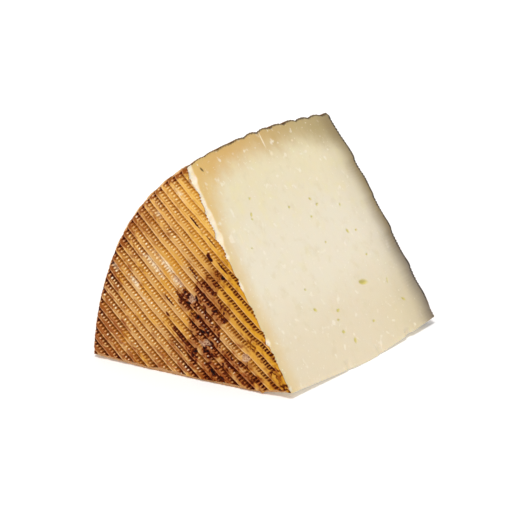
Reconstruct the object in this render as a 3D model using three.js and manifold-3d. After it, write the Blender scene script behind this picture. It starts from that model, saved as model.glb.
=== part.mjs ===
// A wedge of manchego cheese: one sixth of a pressed wheel, lying on one of its two cuts.
// The wheel's axis lies level along +Y. One flat, ribbed face of the wheel looks towards -Y,
// the other towards +Y, the barrelled side looks up and to -X, and the open cut looks up and to +X.
// Every face is a block whose outer side is worked out from a formula; the wedge is what all the blocks share.
// Lengths are in millimetres and angles in degrees unless a name says otherwise.
import * as THREE from "three";
import { mergeVertices } from "three/addons/utils/BufferGeometryUtils.js";
import Module from "manifold-3d";

const wasm = await Module();
wasm.setup();

// The wheel.
const FACE_RADIUS = 95.5; // where the side meets a flat face
const SIDE_BULGE = 3.2; // how far the side swells out between them
const BULGE_SKEW = 0.95; // under 1, the side swells most nearer the front
const LOW_SPREAD = 2.5; // the wheel's outline is this much wider at the lower cut
const SPREAD_ANGLE = 22; // and round again this far above it
const THICKNESS = 107.6; // at the wheel's centre
const FRONT_DOME = 2.2; // how far each flat face falls away between its centre and its rim
const BACK_DOME = 6.1;
const RIM_ROUND = 2.6; // radius of the corner between the side and a flat face

// The two cuts.
const WEDGE_ANGLE = 60.6; // of the open cut above the level, seen from the wheel's axis
const AXIS_HEIGHT = 2.6; // the lower cut passes this far under the axis
const CUT_SWELL = 0.9; // the open cut swells out this much in its middle
const EDGE_BREAK = 1.5; // width of the strip that breaks off where the open cut meets the front rind

// Where the wheel's axis stands, so that the wedge is centred over the origin.
const AXIS_X = 50.2;
const FRONT_Y = -53.6;

// The print of the mould: smooth ribs with channels between them. top and foot are a rib's widths.
const FACE_RIB = { pitch: 4.09, top: 1.3, foot: 2.3, height: 0.6 };
const FRONT_ROWS = { angle: -40, phase: 1.45, bow: 0.0013, bowCentre: -50 };
const BACK_ROWS = { angle: -47, phase: 2.05, bow: 0, bowCentre: 0 };

// The side was pressed by a plaited band: its ribs zigzag at 45 degrees. They are measured round the wheel.
const BAND_WIDTH = 18.3; // between two turns of the zigzag
const BAND_START = 5; // from the front face's centre to the first turn
const SIDE_RIB = { pitch: BAND_WIDTH / 2, top: 3.2, foot: 6, height: 0.75 };

// The corners of the lower cut curl up off the table. lift is a corner's height over the table,
// and the curl runs out at reachX along the cut's edge to one side and at reachY along the other.
const CORNERS = [
  { x: 0, y: 0, lift: 2.6, reachX: -18, reachY: 50 }, // the wheel's centre, in front
  { x: 0, y: 107.6, lift: 3.2, reachX: -18, reachY: -50 }, // and behind
  { x: -97.5, y: 2, lift: 1.1, reachX: 28, reachY: 40 }, // the rim, in front
  { x: -97.5, y: 102, lift: 1.1, reachX: 28, reachY: -40 }, // and behind
];

// Eyes, the small holes in the paste, that show in the open cut. along is measured from the front face,
// out from the wheel's axis; both half widths and the turn lie in the cut.
const EYES = [
  { along: 72.1, out: 27.5, long: 2.6, wide: 1.4, turn: -15 },
  { along: 35.1, out: 24.7, long: 1.4, wide: 0.9, turn: -35 },
  { along: 48.5, out: 20.8, long: 1.7, wide: 0.8, turn: 10 },
  { along: 45.8, out: 12.0, long: 1.3, wide: 0.9, turn: -10 },
  { along: 50.6, out: 7.2, long: 1.5, wide: 1.0, turn: 60 },
  { along: 67.4, out: 10.6, long: 1.1, wide: 0.7, turn: 0 },
  { along: 92.8, out: 12.9, long: 1.8, wide: 0.7, turn: -35 },
  { along: 77.4, out: 47.9, long: 1.4, wide: 0.9, turn: -60 },
  { along: 63.1, out: 65.8, long: 1.2, wide: 0.8, turn: -40 },
  { along: 65.8, out: 62.6, long: 1.5, wide: 0.6, turn: 15 },
  { along: 24.9, out: 69.1, long: 1.4, wide: 0.7, turn: 55 },
];
const EYE_DEPTH = 0.9;

// Size of the blocks that the wedge is cut from, well past its own outline.
const REACH = 110;
const INSIDE = 120;
const BEHIND_AXIS = 15;

const radians = THREE.MathUtils.degToRad;

// A closed geometry as a solid. Its windings are turned round if they point inwards.
function solidOf(geometry) {
  const bare = geometry.index ? geometry.clone() : geometry;
  bare.deleteAttribute("normal");
  bare.deleteAttribute("uv");
  const merged = mergeVertices(bare, 1e-4);
  const vertProperties = merged.attributes.position.array;
  const triVerts = new Uint32Array(merged.index.array);
  const made = new wasm.Manifold(new wasm.Mesh({ numProp: 3, vertProperties, triVerts }));
  if (made.volume() > 0) return made;
  for (let i = 0; i < triVerts.length; i += 3) {
    [triVerts[i + 1], triVerts[i + 2]] = [triVerts[i + 2], triVerts[i + 1]];
  }
  return new wasm.Manifold(new wasm.Mesh({ numProp: 3, vertProperties, triVerts }));
}

// A block with a grid of columns by rows on its outer side. outer and inner give a grid point's place.
function gridBlock(columns, rows, outer, inner) {
  const box = new THREE.BoxGeometry(columns - 1, rows - 1, 1, columns - 1, rows - 1, 1);
  const place = box.attributes.position;
  for (let v = 0; v < place.count; v++) {
    const i = Math.round(place.getX(v) + (columns - 1) / 2);
    const j = Math.round(place.getY(v) + (rows - 1) / 2);
    const point = place.getZ(v) > 0 ? outer(i, j) : inner(i, j);
    place.setXYZ(v, point.x, point.y, point.z);
  }
  return solidOf(box);
}

// Numbers from low to high in even steps, both ends included.
function steps(low, high, count) {
  return Array.from({ length: count }, (_, i) => low + ((high - low) * i) / (count - 1));
}

// The breaks of the ribs' outline between low and high: two at each foot and two at each top, as {at, height}.
function ribBreaks(low, high, phase, rib) {
  const breaks = [];
  for (let k = Math.floor((low - phase) / rib.pitch); phase + k * rib.pitch < high; k++) {
    const middle = phase + k * rib.pitch;
    breaks.push({ at: middle - rib.foot / 2, height: 0 });
    breaks.push({ at: middle - rib.top / 2, height: rib.height });
    breaks.push({ at: middle + rib.top / 2, height: rib.height });
    breaks.push({ at: middle + rib.foot / 2, height: 0 });
  }
  return breaks;
}

// How far out the side stands at a share from 0, the front rim, to 1, the back rim: a shallow arch.
// angle is measured round the axis from the level of the lower cut, in radians.
function barrel(share, angle) {
  const skewed = THREE.MathUtils.clamp(share, 0, 1) ** BULGE_SKEW;
  const low = THREE.MathUtils.clamp(1 - angle / radians(SPREAD_ANGLE), 0, 1.1) ** 1.5;
  return FACE_RADIUS + SIDE_BULGE * 4 * skewed * (1 - skewed) + LOW_SPREAD * low;
}

// How far a flat face has fallen back at a distance from the axis: a shallow dome.
const fall = (dome, x, z) => (dome * (x * x + z * z)) / FACE_RADIUS ** 2;

// The wheel is first drawn with its axis on x = 0, z = 0 and the middle of its front face at y = 0.
function ribbedFace(rows, surface, outward) {
  const turn = radians(rows.angle);
  const along = new THREE.Vector2(Math.cos(turn), Math.sin(turn));
  const across = new THREE.Vector2(-along.y, along.x);
  const lengthways = steps(-REACH, REACH / 2, 13);
  const breaks = ribBreaks(-REACH, REACH, rows.phase, FACE_RIB);
  const flat = (i, j) => {
    const p = lengthways[j];
    const q = breaks[i].at + 0.5 * rows.bow * (p - rows.bowCentre) ** 2;
    return new THREE.Vector2(along.x * p + across.x * q, along.y * p + across.y * q);
  };
  const outer = (i, j) => {
    const at = flat(i, j);
    return new THREE.Vector3(at.x, surface(at.x, at.y) + outward * breaks[i].height, at.y);
  };
  const inner = (i, j) => {
    const at = flat(i, j);
    return new THREE.Vector3(at.x, surface(at.x, at.y) - outward * INSIDE, at.y);
  };
  return gridBlock(breaks.length, lengthways.length, outer, inner);
}

// The side: ribs that zigzag from band to band, on the barrel. A rib crosses the open cut
// a quarter of a band away from each turn, so its crossings there are evenly spaced.
function ribbedSide() {
  const depth = THICKNESS - BACK_DOME - FRONT_DOME;
  const arc = FACE_RADIUS * radians(WEDGE_ANGLE);
  const breaks = ribBreaks(-2 * BAND_WIDTH, arc + BAND_WIDTH, arc - BAND_WIDTH / 4, SIDE_RIB);
  const finest = 3; // steps in a band, so that it follows the barrel
  const rows = 7 * finest + 1;
  const outer = (i, j) => {
    const bands = j / finest - 1;
    const y = BAND_START + bands * BAND_WIDTH;
    const within = Math.abs((((bands % 2) + 2) % 2) - 1); // 1, 0, 1, 0 at the turns
    const angle = (breaks[i].at + within * BAND_WIDTH) / FACE_RADIUS;
    const r = barrel((y - FRONT_DOME) / depth, angle) + breaks[i].height;
    return new THREE.Vector3(-r * Math.cos(angle), y, r * Math.sin(angle));
  };
  const inner = (i, j) => outer(i, j).setX(BEHIND_AXIS);
  return gridBlock(breaks.length, rows, outer, inner);
}

// A wheel a little larger than the cheese but with its corners rounded: trims the ribs at the rim.
function roundedWheel() {
  const frontRim = FRONT_DOME - FACE_RIB.height;
  const backRim = THICKNESS - BACK_DOME + FACE_RIB.height;
  const clear = 1;
  const radius = FACE_RADIUS + FACE_RIB.height;
  const profile = [];
  for (const r of steps(0, radius - 3 * RIM_ROUND, 8)) {
    profile.push(new THREE.Vector2(r, fall(FRONT_DOME, r, 0) - clear));
  }
  for (const share of steps(0, 1, 5)) {
    const turn = (share * Math.PI) / 2;
    const r = radius - RIM_ROUND + RIM_ROUND * Math.sin(turn);
    profile.push(new THREE.Vector2(r, frontRim + RIM_ROUND - RIM_ROUND * Math.cos(turn)));
  }
  profile.push(new THREE.Vector2(radius + 2 * SIDE_BULGE, (frontRim + backRim) / 2));
  const half = profile.length;
  for (const share of steps(1, 0, 5)) {
    const turn = (share * Math.PI) / 2;
    const r = radius - RIM_ROUND + RIM_ROUND * Math.sin(turn);
    profile.push(new THREE.Vector2(r, backRim - RIM_ROUND + RIM_ROUND * Math.cos(turn)));
  }
  for (const r of steps(radius - 3 * RIM_ROUND, 0, 8)) {
    profile.push(new THREE.Vector2(r, THICKNESS - fall(BACK_DOME, r, 0) + clear));
  }
  const wheel = new THREE.LatheGeometry(profile, 90);
  const place = wheel.attributes.position;
  for (let v = 0; v < place.count; v++) {
    const x = place.getX(v);
    const z = place.getZ(v);
    const wider = barrel(0, Math.atan2(z, -x)) / FACE_RADIUS;
    place.setXYZ(v, x * wider, place.getY(v), z * wider);
  }
  return solidOf(wheel);
}

// The direction in the open cut that leads away from the axis, and the cut's outward normal.
const cutAngle = radians(WEDGE_ANGLE);
const cutOut = new THREE.Vector3(-Math.cos(cutAngle), 0, Math.sin(cutAngle));
const cutNormal = new THREE.Vector3(Math.sin(cutAngle), 0, Math.cos(cutAngle));

// How far the open cut swells out of its plane: an arch both ways, and a slow wave left by the knife.
function swell(out, along) {
  const u = THREE.MathUtils.clamp(out / FACE_RADIUS, 0, 1);
  const v = THREE.MathUtils.clamp(along / THICKNESS, 0, 1);
  const arch = 16 * u * (1 - u) * v * (1 - v);
  const wave = 0.25 * Math.sin(out / 13 + along / 40);
  return CUT_SWELL * arch + wave;
}

// A place on the open cut.
function onCut(out, along) {
  const place = cutOut.clone().multiplyScalar(out);
  place.y = along;
  return place.addScaledVector(cutNormal, swell(out, along));
}

function openCut() {
  const outs = steps(-20, REACH, 16);
  const alongs = steps(-20, THICKNESS + 20, 16);
  const outer = (i, j) => onCut(outs[i], alongs[j]);
  const inner = (i, j) => outer(i, j).addScaledVector(cutNormal, -2 * REACH);
  return gridBlock(outs.length, alongs.length, outer, inner);
}

// A block over a sloping plane: height gives the plane's z over x and y.
function blockOver(height) {
  const xs = [-REACH - 10, BEHIND_AXIS];
  const ys = [-10, THICKNESS + 10];
  const outer = (i, j) => new THREE.Vector3(xs[i], ys[j], height(xs[i], ys[j]));
  const inner = (i, j) => new THREE.Vector3(xs[i], ys[j], REACH);
  return gridBlock(2, 2, outer, inner);
}

// The lower cut: flat, with one sloping facet under each corner that has curled up.
function lowerCut() {
  let block = blockOver(() => -AXIS_HEIGHT);
  for (const { x, y, lift, reachX, reachY } of CORNERS) {
    const slope = (px, py) => lift * (1 - (px - x) / reachX - (py - y) / reachY) - AXIS_HEIGHT;
    block = block.intersect(blockOver(slope));
  }
  return block;
}

// A bar along the edge of the open cut and the front face, which takes the brittle corner off.
function edgeBar() {
  const bar = new THREE.BoxGeometry(REACH * 2, EDGE_BREAK * Math.SQRT2, EDGE_BREAK * Math.SQRT2, 12, 1, 1);
  bar.rotateX(Math.PI / 4);
  const place = bar.attributes.position;
  for (let v = 0; v < place.count; v++) {
    const out = place.getX(v);
    const edge = cutOut.clone().multiplyScalar(out);
    edge.y = fall(FRONT_DOME, out, 0) - FACE_RIB.height / 2 + place.getY(v);
    edge.addScaledVector(cutNormal, swell(out, 0) + place.getZ(v));
    place.setXYZ(v, edge.x, edge.y, edge.z);
  }
  return solidOf(bar);
}

// One eye: a flattened ball sunk to its middle in the open cut.
function eyeHole({ along, out, long, wide, turn }) {
  const ball = new THREE.IcosahedronGeometry(1, 1);
  ball.scale(long, wide, EYE_DEPTH);
  ball.rotateZ(radians(turn));
  const basis = new THREE.Matrix4().makeBasis(new THREE.Vector3(0, 1, 0), cutOut, cutNormal);
  basis.setPosition(onCut(out, along));
  ball.applyMatrix4(basis);
  return solidOf(ball);
}

// The surfaces of the two flat faces, as y over x and z.
const frontSurface = (x, z) => fall(FRONT_DOME, x, z);
const backSurface = (x, z) => THICKNESS - fall(BACK_DOME, x, z);

function wedge() {
  let solid = ribbedFace(FRONT_ROWS, frontSurface, -1);
  solid = solid.intersect(ribbedFace(BACK_ROWS, backSurface, 1));
  solid = solid.intersect(ribbedSide());
  solid = solid.intersect(roundedWheel());
  solid = solid.intersect(openCut());
  solid = solid.intersect(lowerCut());
  solid = solid.subtract(edgeBar());
  for (const eye of EYES) solid = solid.subtract(eyeHole(eye));
  return solid;
}

// A solid's surface as a geometry for drawing.
function geometryOf(solid) {
  const mesh = solid.getMesh();
  const geometry = new THREE.BufferGeometry();
  geometry.setAttribute("position", new THREE.BufferAttribute(mesh.vertProperties, 3));
  geometry.setIndex(new THREE.BufferAttribute(mesh.triVerts, 1));
  geometry.computeVertexNormals();
  return geometry;
}

const cheese = new THREE.Mesh(
  geometryOf(wedge()),
  new THREE.MeshStandardMaterial({ color: 0xebdcb8, roughness: 0.55, metalness: 0 }),
);
cheese.name = "cheese";
cheese.position.set(AXIS_X, FRONT_Y, AXIS_HEIGHT);

const wedgeOfCheese = new THREE.Group();
wedgeOfCheese.add(cheese);

export default wedgeOfCheese;
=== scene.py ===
"""The looks of a wedge of manchego cheese: a sixth of a pressed wheel, lying on one of its two cuts.

The wedge is dressed in four pieces. The paste is one closed body with the open cut on it, and the rind
is three thin shells over it: the front flat face, the back one and the barrelled side. The print of
the mould, the chips along the cuts and the eyes of the paste are shape, worked out on fine grids.
"""

import sys
import logging
import math
from dataclasses import dataclass, field
from enum import Enum

import bpy
import numpy as np
from mathutils import Matrix, Vector


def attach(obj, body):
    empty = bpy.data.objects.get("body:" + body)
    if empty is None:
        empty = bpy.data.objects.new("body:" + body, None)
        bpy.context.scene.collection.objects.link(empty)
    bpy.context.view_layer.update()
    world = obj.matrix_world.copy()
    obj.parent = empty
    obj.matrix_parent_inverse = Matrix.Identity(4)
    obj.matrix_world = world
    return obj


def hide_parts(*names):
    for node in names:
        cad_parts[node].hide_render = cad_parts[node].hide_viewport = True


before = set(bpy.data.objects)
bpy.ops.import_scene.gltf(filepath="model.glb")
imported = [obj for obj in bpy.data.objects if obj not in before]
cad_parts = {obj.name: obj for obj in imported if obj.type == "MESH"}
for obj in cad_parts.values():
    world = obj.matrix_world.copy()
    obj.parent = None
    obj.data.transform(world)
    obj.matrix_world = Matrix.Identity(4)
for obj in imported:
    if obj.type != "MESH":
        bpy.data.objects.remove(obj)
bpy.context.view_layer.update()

LOG = logging.getLogger("cheese")
NODE = "cheese"
BODY = "root"

# A millimetre in metres, and a cubic metre in cubic centimetres
MM = 0.001
CM3 = 1.0e6
# Faces of the rind that meet at more than this angle keep a crisp edge
RIND_CREASE = math.radians(62.0)
# The width, in mm, over which the prints of a flat face and of the side blend at the rim
RIM_BLEND = 1.3
# The paste's marks where it has none
PLAIN = {"broken": 0.0, "eye": 0.0, "score": 0.0, "dirt": 0.0, "worn": 0.0}

Array = np.ndarray
Number = float | Array
Colour = tuple[float, float, float, float]


def ramp(low: Number, high: Number, value: Number) -> Array:
    """A smooth step from 0 at low to 1 at high: t squared times 3 less 2t."""
    t = np.clip((value - low) / (high - low), 0.0, 1.0)
    return t * t * (3.0 - 2.0 * t)


def mix(a: Number, b: Number, share: Number) -> Array:
    """The value that lies a share of the way from a to b."""
    return a + (b - a) * share


def linear(red: int, green: int, blue: int) -> Colour:
    """A display colour of 0 to 255 a channel as linear light.

    Args:
        red: The red channel.
        green: The green channel.
        blue: The blue channel.

    Returns:
        Red, green, blue and alpha, from 0 to 1.
    """
    shares = [channel / 255.0 for channel in (red, green, blue)]
    light = [s / 12.92 if s <= 0.04045 else ((s + 0.055) / 1.055) ** 2.4 for s in shares]
    return (light[0], light[1], light[2], 1.0)


@dataclass(frozen=True)
class Noise:
    """Smooth seeded noise over a plane: random values on a square lattice, with soft steps between."""

    seed: int
    size: int = 256

    def lattice(self) -> Array:
        """The random values at the lattice points, from -1 to 1."""
        return np.random.default_rng(self.seed).uniform(-1.0, 1.0, (self.size, self.size))

    def at(self, a: Array, b: Array, cell: float) -> Array:
        """The noise at places of the plane.

        Args:
            a: First coordinates.
            b: Second coordinates, of the same shape.
            cell: Distance between lattice points.

        Returns:
            Values from -1 to 1.
        """
        values = self.lattice()
        u = np.asarray(a) / cell
        v = np.asarray(b) / cell
        i = np.floor(u).astype(int)
        j = np.floor(v).astype(int)
        su = ramp(0.0, 1.0, u - i)
        sv = ramp(0.0, 1.0, v - j)
        i0 = i % self.size
        j0 = j % self.size
        i1 = (i + 1) % self.size
        j1 = (j + 1) % self.size
        near = mix(values[i0, j0], values[i1, j0], su)
        far = mix(values[i0, j1], values[i1, j1], su)
        return mix(near, far, sv)

    def layers(self, a: Array, b: Array, cell: float, count: int = 3) -> Array:
        """Noise in layers, each shifted and half as coarse and half as strong as the last.

        Args:
            a: First coordinates.
            b: Second coordinates.
            cell: Distance between the first layer's lattice points.
            count: Number of layers.

        Returns:
            Values from -1 to 1.
        """
        total = np.zeros(np.broadcast(a, b).shape)
        for layer in range(count):
            share = 0.5**layer
            total = total + share * self.at(a + 37.1 * layer, b - 11.7 * layer, cell * share)
        return total / (2.0 - 0.5 ** (count - 1))

    def cloud(self, a: Array, b: Array, cell: float, count: int = 3) -> Array:
        """Noise in layers, from 0 to 1."""
        return 0.5 + 0.5 * self.layers(a, b, cell, count)

    def line(self, a: Array, cell: float, b: float = 0.0) -> Array:
        """The noise along the line of the plane that has one second coordinate."""
        return self.at(a, a * 0.0 + b, cell)

    def cells(self, a: Array, b: Array) -> Array:
        """One random value from 0 to 1 for each pair of whole numbers.

        Args:
            a: First numbers.
            b: Second numbers.

        Returns:
            The values.
        """
        values = self.lattice()
        i = np.asarray(a).astype(int) % self.size
        j = np.asarray(b).astype(int) % self.size
        return values[i, j] * 0.5 + 0.5


class End(Enum):
    """The two flat faces of the wheel."""

    FRONT = "front"
    BACK = "back"


@dataclass(frozen=True)
class Wheel:
    """The wheel that the wedge is cut from. Its axis is the y axis, and its front face is about y = 0.

    An angle is measured round the axis, in radians, from the level on the -x side upwards.
    """

    face_radius: float = 95.5
    side_bulge: float = 3.2
    bulge_skew: float = 0.95
    low_spread: float = 2.5
    spread_angle: float = math.radians(22.0)
    thickness: float = 107.6
    front_dome: float = 2.2
    back_dome: float = 6.1
    rim_round: float = 2.0
    most_lean: float = 0.999
    wedge_angle: float = math.radians(60.6)
    axis: tuple[float, float, float] = (50.2, -53.6, 2.6)

    @property
    def rim_in(self) -> float:
        """How far inside the barrel the rounded rim's middle lies: its radius times 1 - cos 45."""
        return self.rim_round * (1.0 - math.sqrt(0.5))

    def spread(self, angle: Array) -> Array:
        """The barrel's radius at its ends, which is wider at the lower cut."""
        low = np.clip(1.0 - angle / self.spread_angle, 0.0, 1.1) ** 1.5
        return self.face_radius + self.low_spread * low

    def barrel(self, share: Array, angle: Array) -> Array:
        """The barrel's radius at a share of the way from the front rim to the back: a shallow arch."""
        skewed = np.clip(share, 0.0, 1.0) ** self.bulge_skew
        return self.spread(angle) + self.side_bulge * 4.0 * skewed * (1.0 - skewed)

    def rim_radius(self, angle: Array) -> Array:
        """The radius of the line round a face where its rounded rim leans at 45 degrees."""
        return self.spread(angle) - self.rim_in

    def from_open(self, radius: Array, angle: Array) -> Array:
        """The distance of places from the open cut's plane."""
        return radius * np.sin(self.wedge_angle - angle)

    def front_edge(self, out: Array) -> Array:
        """The y of the front face's dome at places out along a cut."""
        return self.front_dome * (out / self.face_radius) ** 2

    def dome(self, end: End) -> float:
        """How far a flat face falls away between its centre and its rim."""
        return self.front_dome if end is End.FRONT else self.back_dome

    def lean(self, radius: Array, angle: Array) -> Array:
        """The sine of a flat face's lean outwards: 0 on the flat, up to 1 on the rounded rim."""
        start = self.spread(angle) - self.rim_round
        return np.clip((radius - start) / self.rim_round, 0.0, self.most_lean)

    def rim_drop(self, sine: Array) -> Array:
        """How far the rounded rim has fallen where it leans by a sine: its radius times 1 - cosine."""
        return self.rim_round * (1.0 - np.sqrt(1.0 - sine**2))

    def fall(self, end: End, radius: Array, angle: Array) -> Array:
        """How far in a flat face lies from its centre's plane: a shallow dome, then the rounded rim.

        Args:
            end: Which face.
            radius: Distances from the axis.
            angle: Angles round it.

        Returns:
            Distances into the wheel.
        """
        start = self.spread(angle) - self.rim_round
        dome = self.dome(end) * (np.minimum(radius, start) / self.face_radius) ** 2
        return dome + self.rim_drop(self.lean(radius, angle))

    def world(self, x: Array, y: Array, z: Array) -> Array:
        """Places in the wheel's millimetres as metres of the shared frame, stacked on the last axis."""
        placed = [np.asarray(part) + shift for part, shift in zip((x, y, z), self.axis)]
        return np.stack(placed, axis=-1) * MM

    def placed(self, found: dict[str, Array]) -> Array:
        """The same for the x, y and z of places found on a surface."""
        return self.world(found["x"], found["y"], found["z"])


def polar(x: Array, z: Array) -> tuple[Array, Array]:
    """The distance from the axis and the angle round it of places in the x z plane."""
    return np.hypot(x, z), np.arctan2(z, -x)


def from_polar(radius: Array, angle: Array) -> tuple[Array, Array]:
    """The x and z of places at distances from the axis and angles round it."""
    return -radius * np.cos(angle), radius * np.sin(angle)


def coons(low: Array, high: Array, left: Array, right: Array, steps: Array | None = None) -> Array:
    """A patch stretched between four edge lines that meet at its corners.

    The sum of the two straight blends between facing edges, less the blend of the four corners.

    Args:
        low: Edge line at v = 0, of shape (m, d).
        high: Edge line at v = 1, of shape (m, d).
        left: Edge line at u = 0, of shape (n, d).
        right: Edge line at u = 1, of shape (n, d).
        steps: The values of v at its places, from 0 to 1, where they aren't even.

    Returns:
        Grid of places, of shape (m, n, d).
    """
    u = np.linspace(0.0, 1.0, len(low))[:, None, None]
    even = np.linspace(0.0, 1.0, len(left))
    v = (even if steps is None else steps)[None, :, None]
    across = (1.0 - v) * low[:, None, :] + v * high[:, None, :]
    along = (1.0 - u) * left[None, :, :] + u * right[None, :, :]
    corners = (1.0 - u) * (1.0 - v) * low[0] + u * (1.0 - v) * low[-1]
    corners = corners + (1.0 - u) * v * high[0] + u * v * high[-1]
    return across + along - corners


def perimeter(grid: Array) -> Array:
    """The outer ring of a grid's entries, once round: low side, right side, high side, left side."""
    return np.concatenate([grid[:-1, 0], grid[-1, :-1], grid[:0:-1, -1], grid[0, :0:-1]])


@dataclass
class Mesh:
    """A closed mesh in the making: places, faces of any number of corners, and values at each place."""

    places: list[Array] = field(default_factory=list)
    faces: list[Array] = field(default_factory=list)
    values: dict[str, list[Array]] = field(default_factory=dict)
    count: int = 0

    def add(self, places: Array, **values: Array) -> Array:
        """Adds places.

        Args:
            places: Places in metres, with x, y and z on the last axis.
            values: Named values, one for each place or one for all.

        Returns:
            The numbers of the new places, in the shape of the input.
        """
        shape = places.shape[:-1]
        number = np.arange(self.count, self.count + int(np.prod(shape))).reshape(shape)
        self.places.append(places.reshape(-1, 3))
        for name, value in values.items():
            full = np.broadcast_to(value, shape).reshape(-1)
            self.values.setdefault(name, []).append(full)
        self.count += number.size
        return number

    def sheet(self, number: Array, turned: bool = False) -> None:
        """Adds the four-cornered faces of a grid.

        Args:
            number: The grid's place numbers.
            turned: True to turn the faces round.
        """
        corners = [number[:-1, :-1], number[1:, :-1], number[1:, 1:], number[:-1, 1:]]
        if turned:
            corners.reverse()
        self.faces.append(np.stack(corners, axis=-1).reshape(-1, 4))

    def build(self, name: str, sharp: float) -> bpy.types.Object:
        """Makes the object, with its faces outwards.

        The volume enclosed is a sixth of the sum of a . (b x c) over the corners of each face's
        triangles: where it is negative, every face is turned round.

        Args:
            name: The piece's name.
            sharp: Faces that meet at more than this angle, in radians, keep a crisp edge.

        Returns:
            The new object.
        """
        places = np.concatenate(self.places)
        volume = 0.0
        for group in self.faces:
            a = places[group[:, 0]]
            for k in range(1, group.shape[1] - 1):
                b = places[group[:, k]]
                c = places[group[:, k + 1]]
                volume += float(np.sum(a * np.cross(b, c))) / 6.0
        groups = self.faces if volume > 0 else [group[:, ::-1] for group in self.faces]
        corners = np.concatenate([group.reshape(-1) for group in groups])
        sizes = np.concatenate([np.full(len(group), group.shape[1]) for group in groups])
        mesh = bpy.data.meshes.new(name)
        mesh.vertices.add(len(places))
        mesh.vertices.foreach_set("co", places.astype(np.float32).ravel())
        mesh.loops.add(len(corners))
        mesh.loops.foreach_set("vertex_index", corners.astype(np.int32))
        mesh.polygons.add(len(sizes))
        starts = np.concatenate([[0], np.cumsum(sizes)[:-1]])
        mesh.polygons.foreach_set("loop_start", starts.astype(np.int32))
        mesh.update(calc_edges=True)
        mesh.polygons.foreach_set("use_smooth", np.ones(len(sizes), dtype=bool))
        mesh.set_sharp_from_angle(angle=sharp)
        for label, parts in self.values.items():
            layer = mesh.attributes.new(label, "FLOAT", "POINT")
            layer.data.foreach_set("value", np.concatenate(parts).astype(np.float32))
        mesh.validate()
        piece = bpy.data.objects.new(name, mesh)
        bpy.context.scene.collection.objects.link(piece)
        counts = (len(places), len(sizes), abs(volume) * CM3)
        LOG.info("%s: %d places, %d faces, %.1f cm3", name, *counts)
        return piece


@dataclass(frozen=True)
class Cut:
    """One of the two cuts.

    A place on it is given by its out, the distance along the cut from the axis, by its along, the
    place along y, and by its height off the cut's plane through the axis. Its side is 1 where the
    angle grows on the way out of the wedge, and -1 where it falls.
    """

    wheel: Wheel = Wheel()
    seed: int = 11
    side: float = 1.0
    edge_power: float = 1.3
    rounds: int = 4

    @property
    def level(self) -> float:
        """The angle round the axis at which the cut's plane lies: 0 for the lower cut."""
        return self.wheel.wedge_angle if self.side > 0 else 0.0

    @property
    def out(self) -> tuple[float, float]:
        """The direction in the x z plane that leads away from the axis."""
        return -math.cos(self.level), math.sin(self.level)

    @property
    def up(self) -> tuple[float, float]:
        """The cut's outward normal in the x z plane."""
        return self.side * math.sin(self.level), self.side * math.cos(self.level)

    def height(self, out: Array, along: Array) -> Array:
        """How far off its plane through the axis the cut stands."""
        raise NotImplementedError

    def place(self, out: Array, height: Array) -> tuple[Array, Array]:
        """The x and z of a place on the cut."""
        return self.out[0] * out + self.up[0] * height, self.out[1] * out + self.up[1] * height

    def line(self, found: dict[str, Array]) -> Array:
        """The out and y of places found on a surface, stacked on the last axis."""
        return np.stack([found["x"] * self.out[0] + found["z"] * self.out[1], found["y"]], axis=-1)

    def reach(self, radius: Array, along: Array, inset: float = 0.0) -> Array:
        """How far out along the cut a distance from the axis is reached.

        It is the root of the distance squared less the height squared, settled in a few steps.

        Args:
            radius: Distances from the axis.
            along: Places along y.
            inset: How far inside the cut.

        Returns:
            The outs, in mm.
        """
        out = np.asarray(radius, dtype=float)
        for _ in range(self.rounds):
            height = self.height(out, along) - inset
            out = np.sqrt(np.maximum(radius**2 - height**2, 0.0))
        return out


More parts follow.
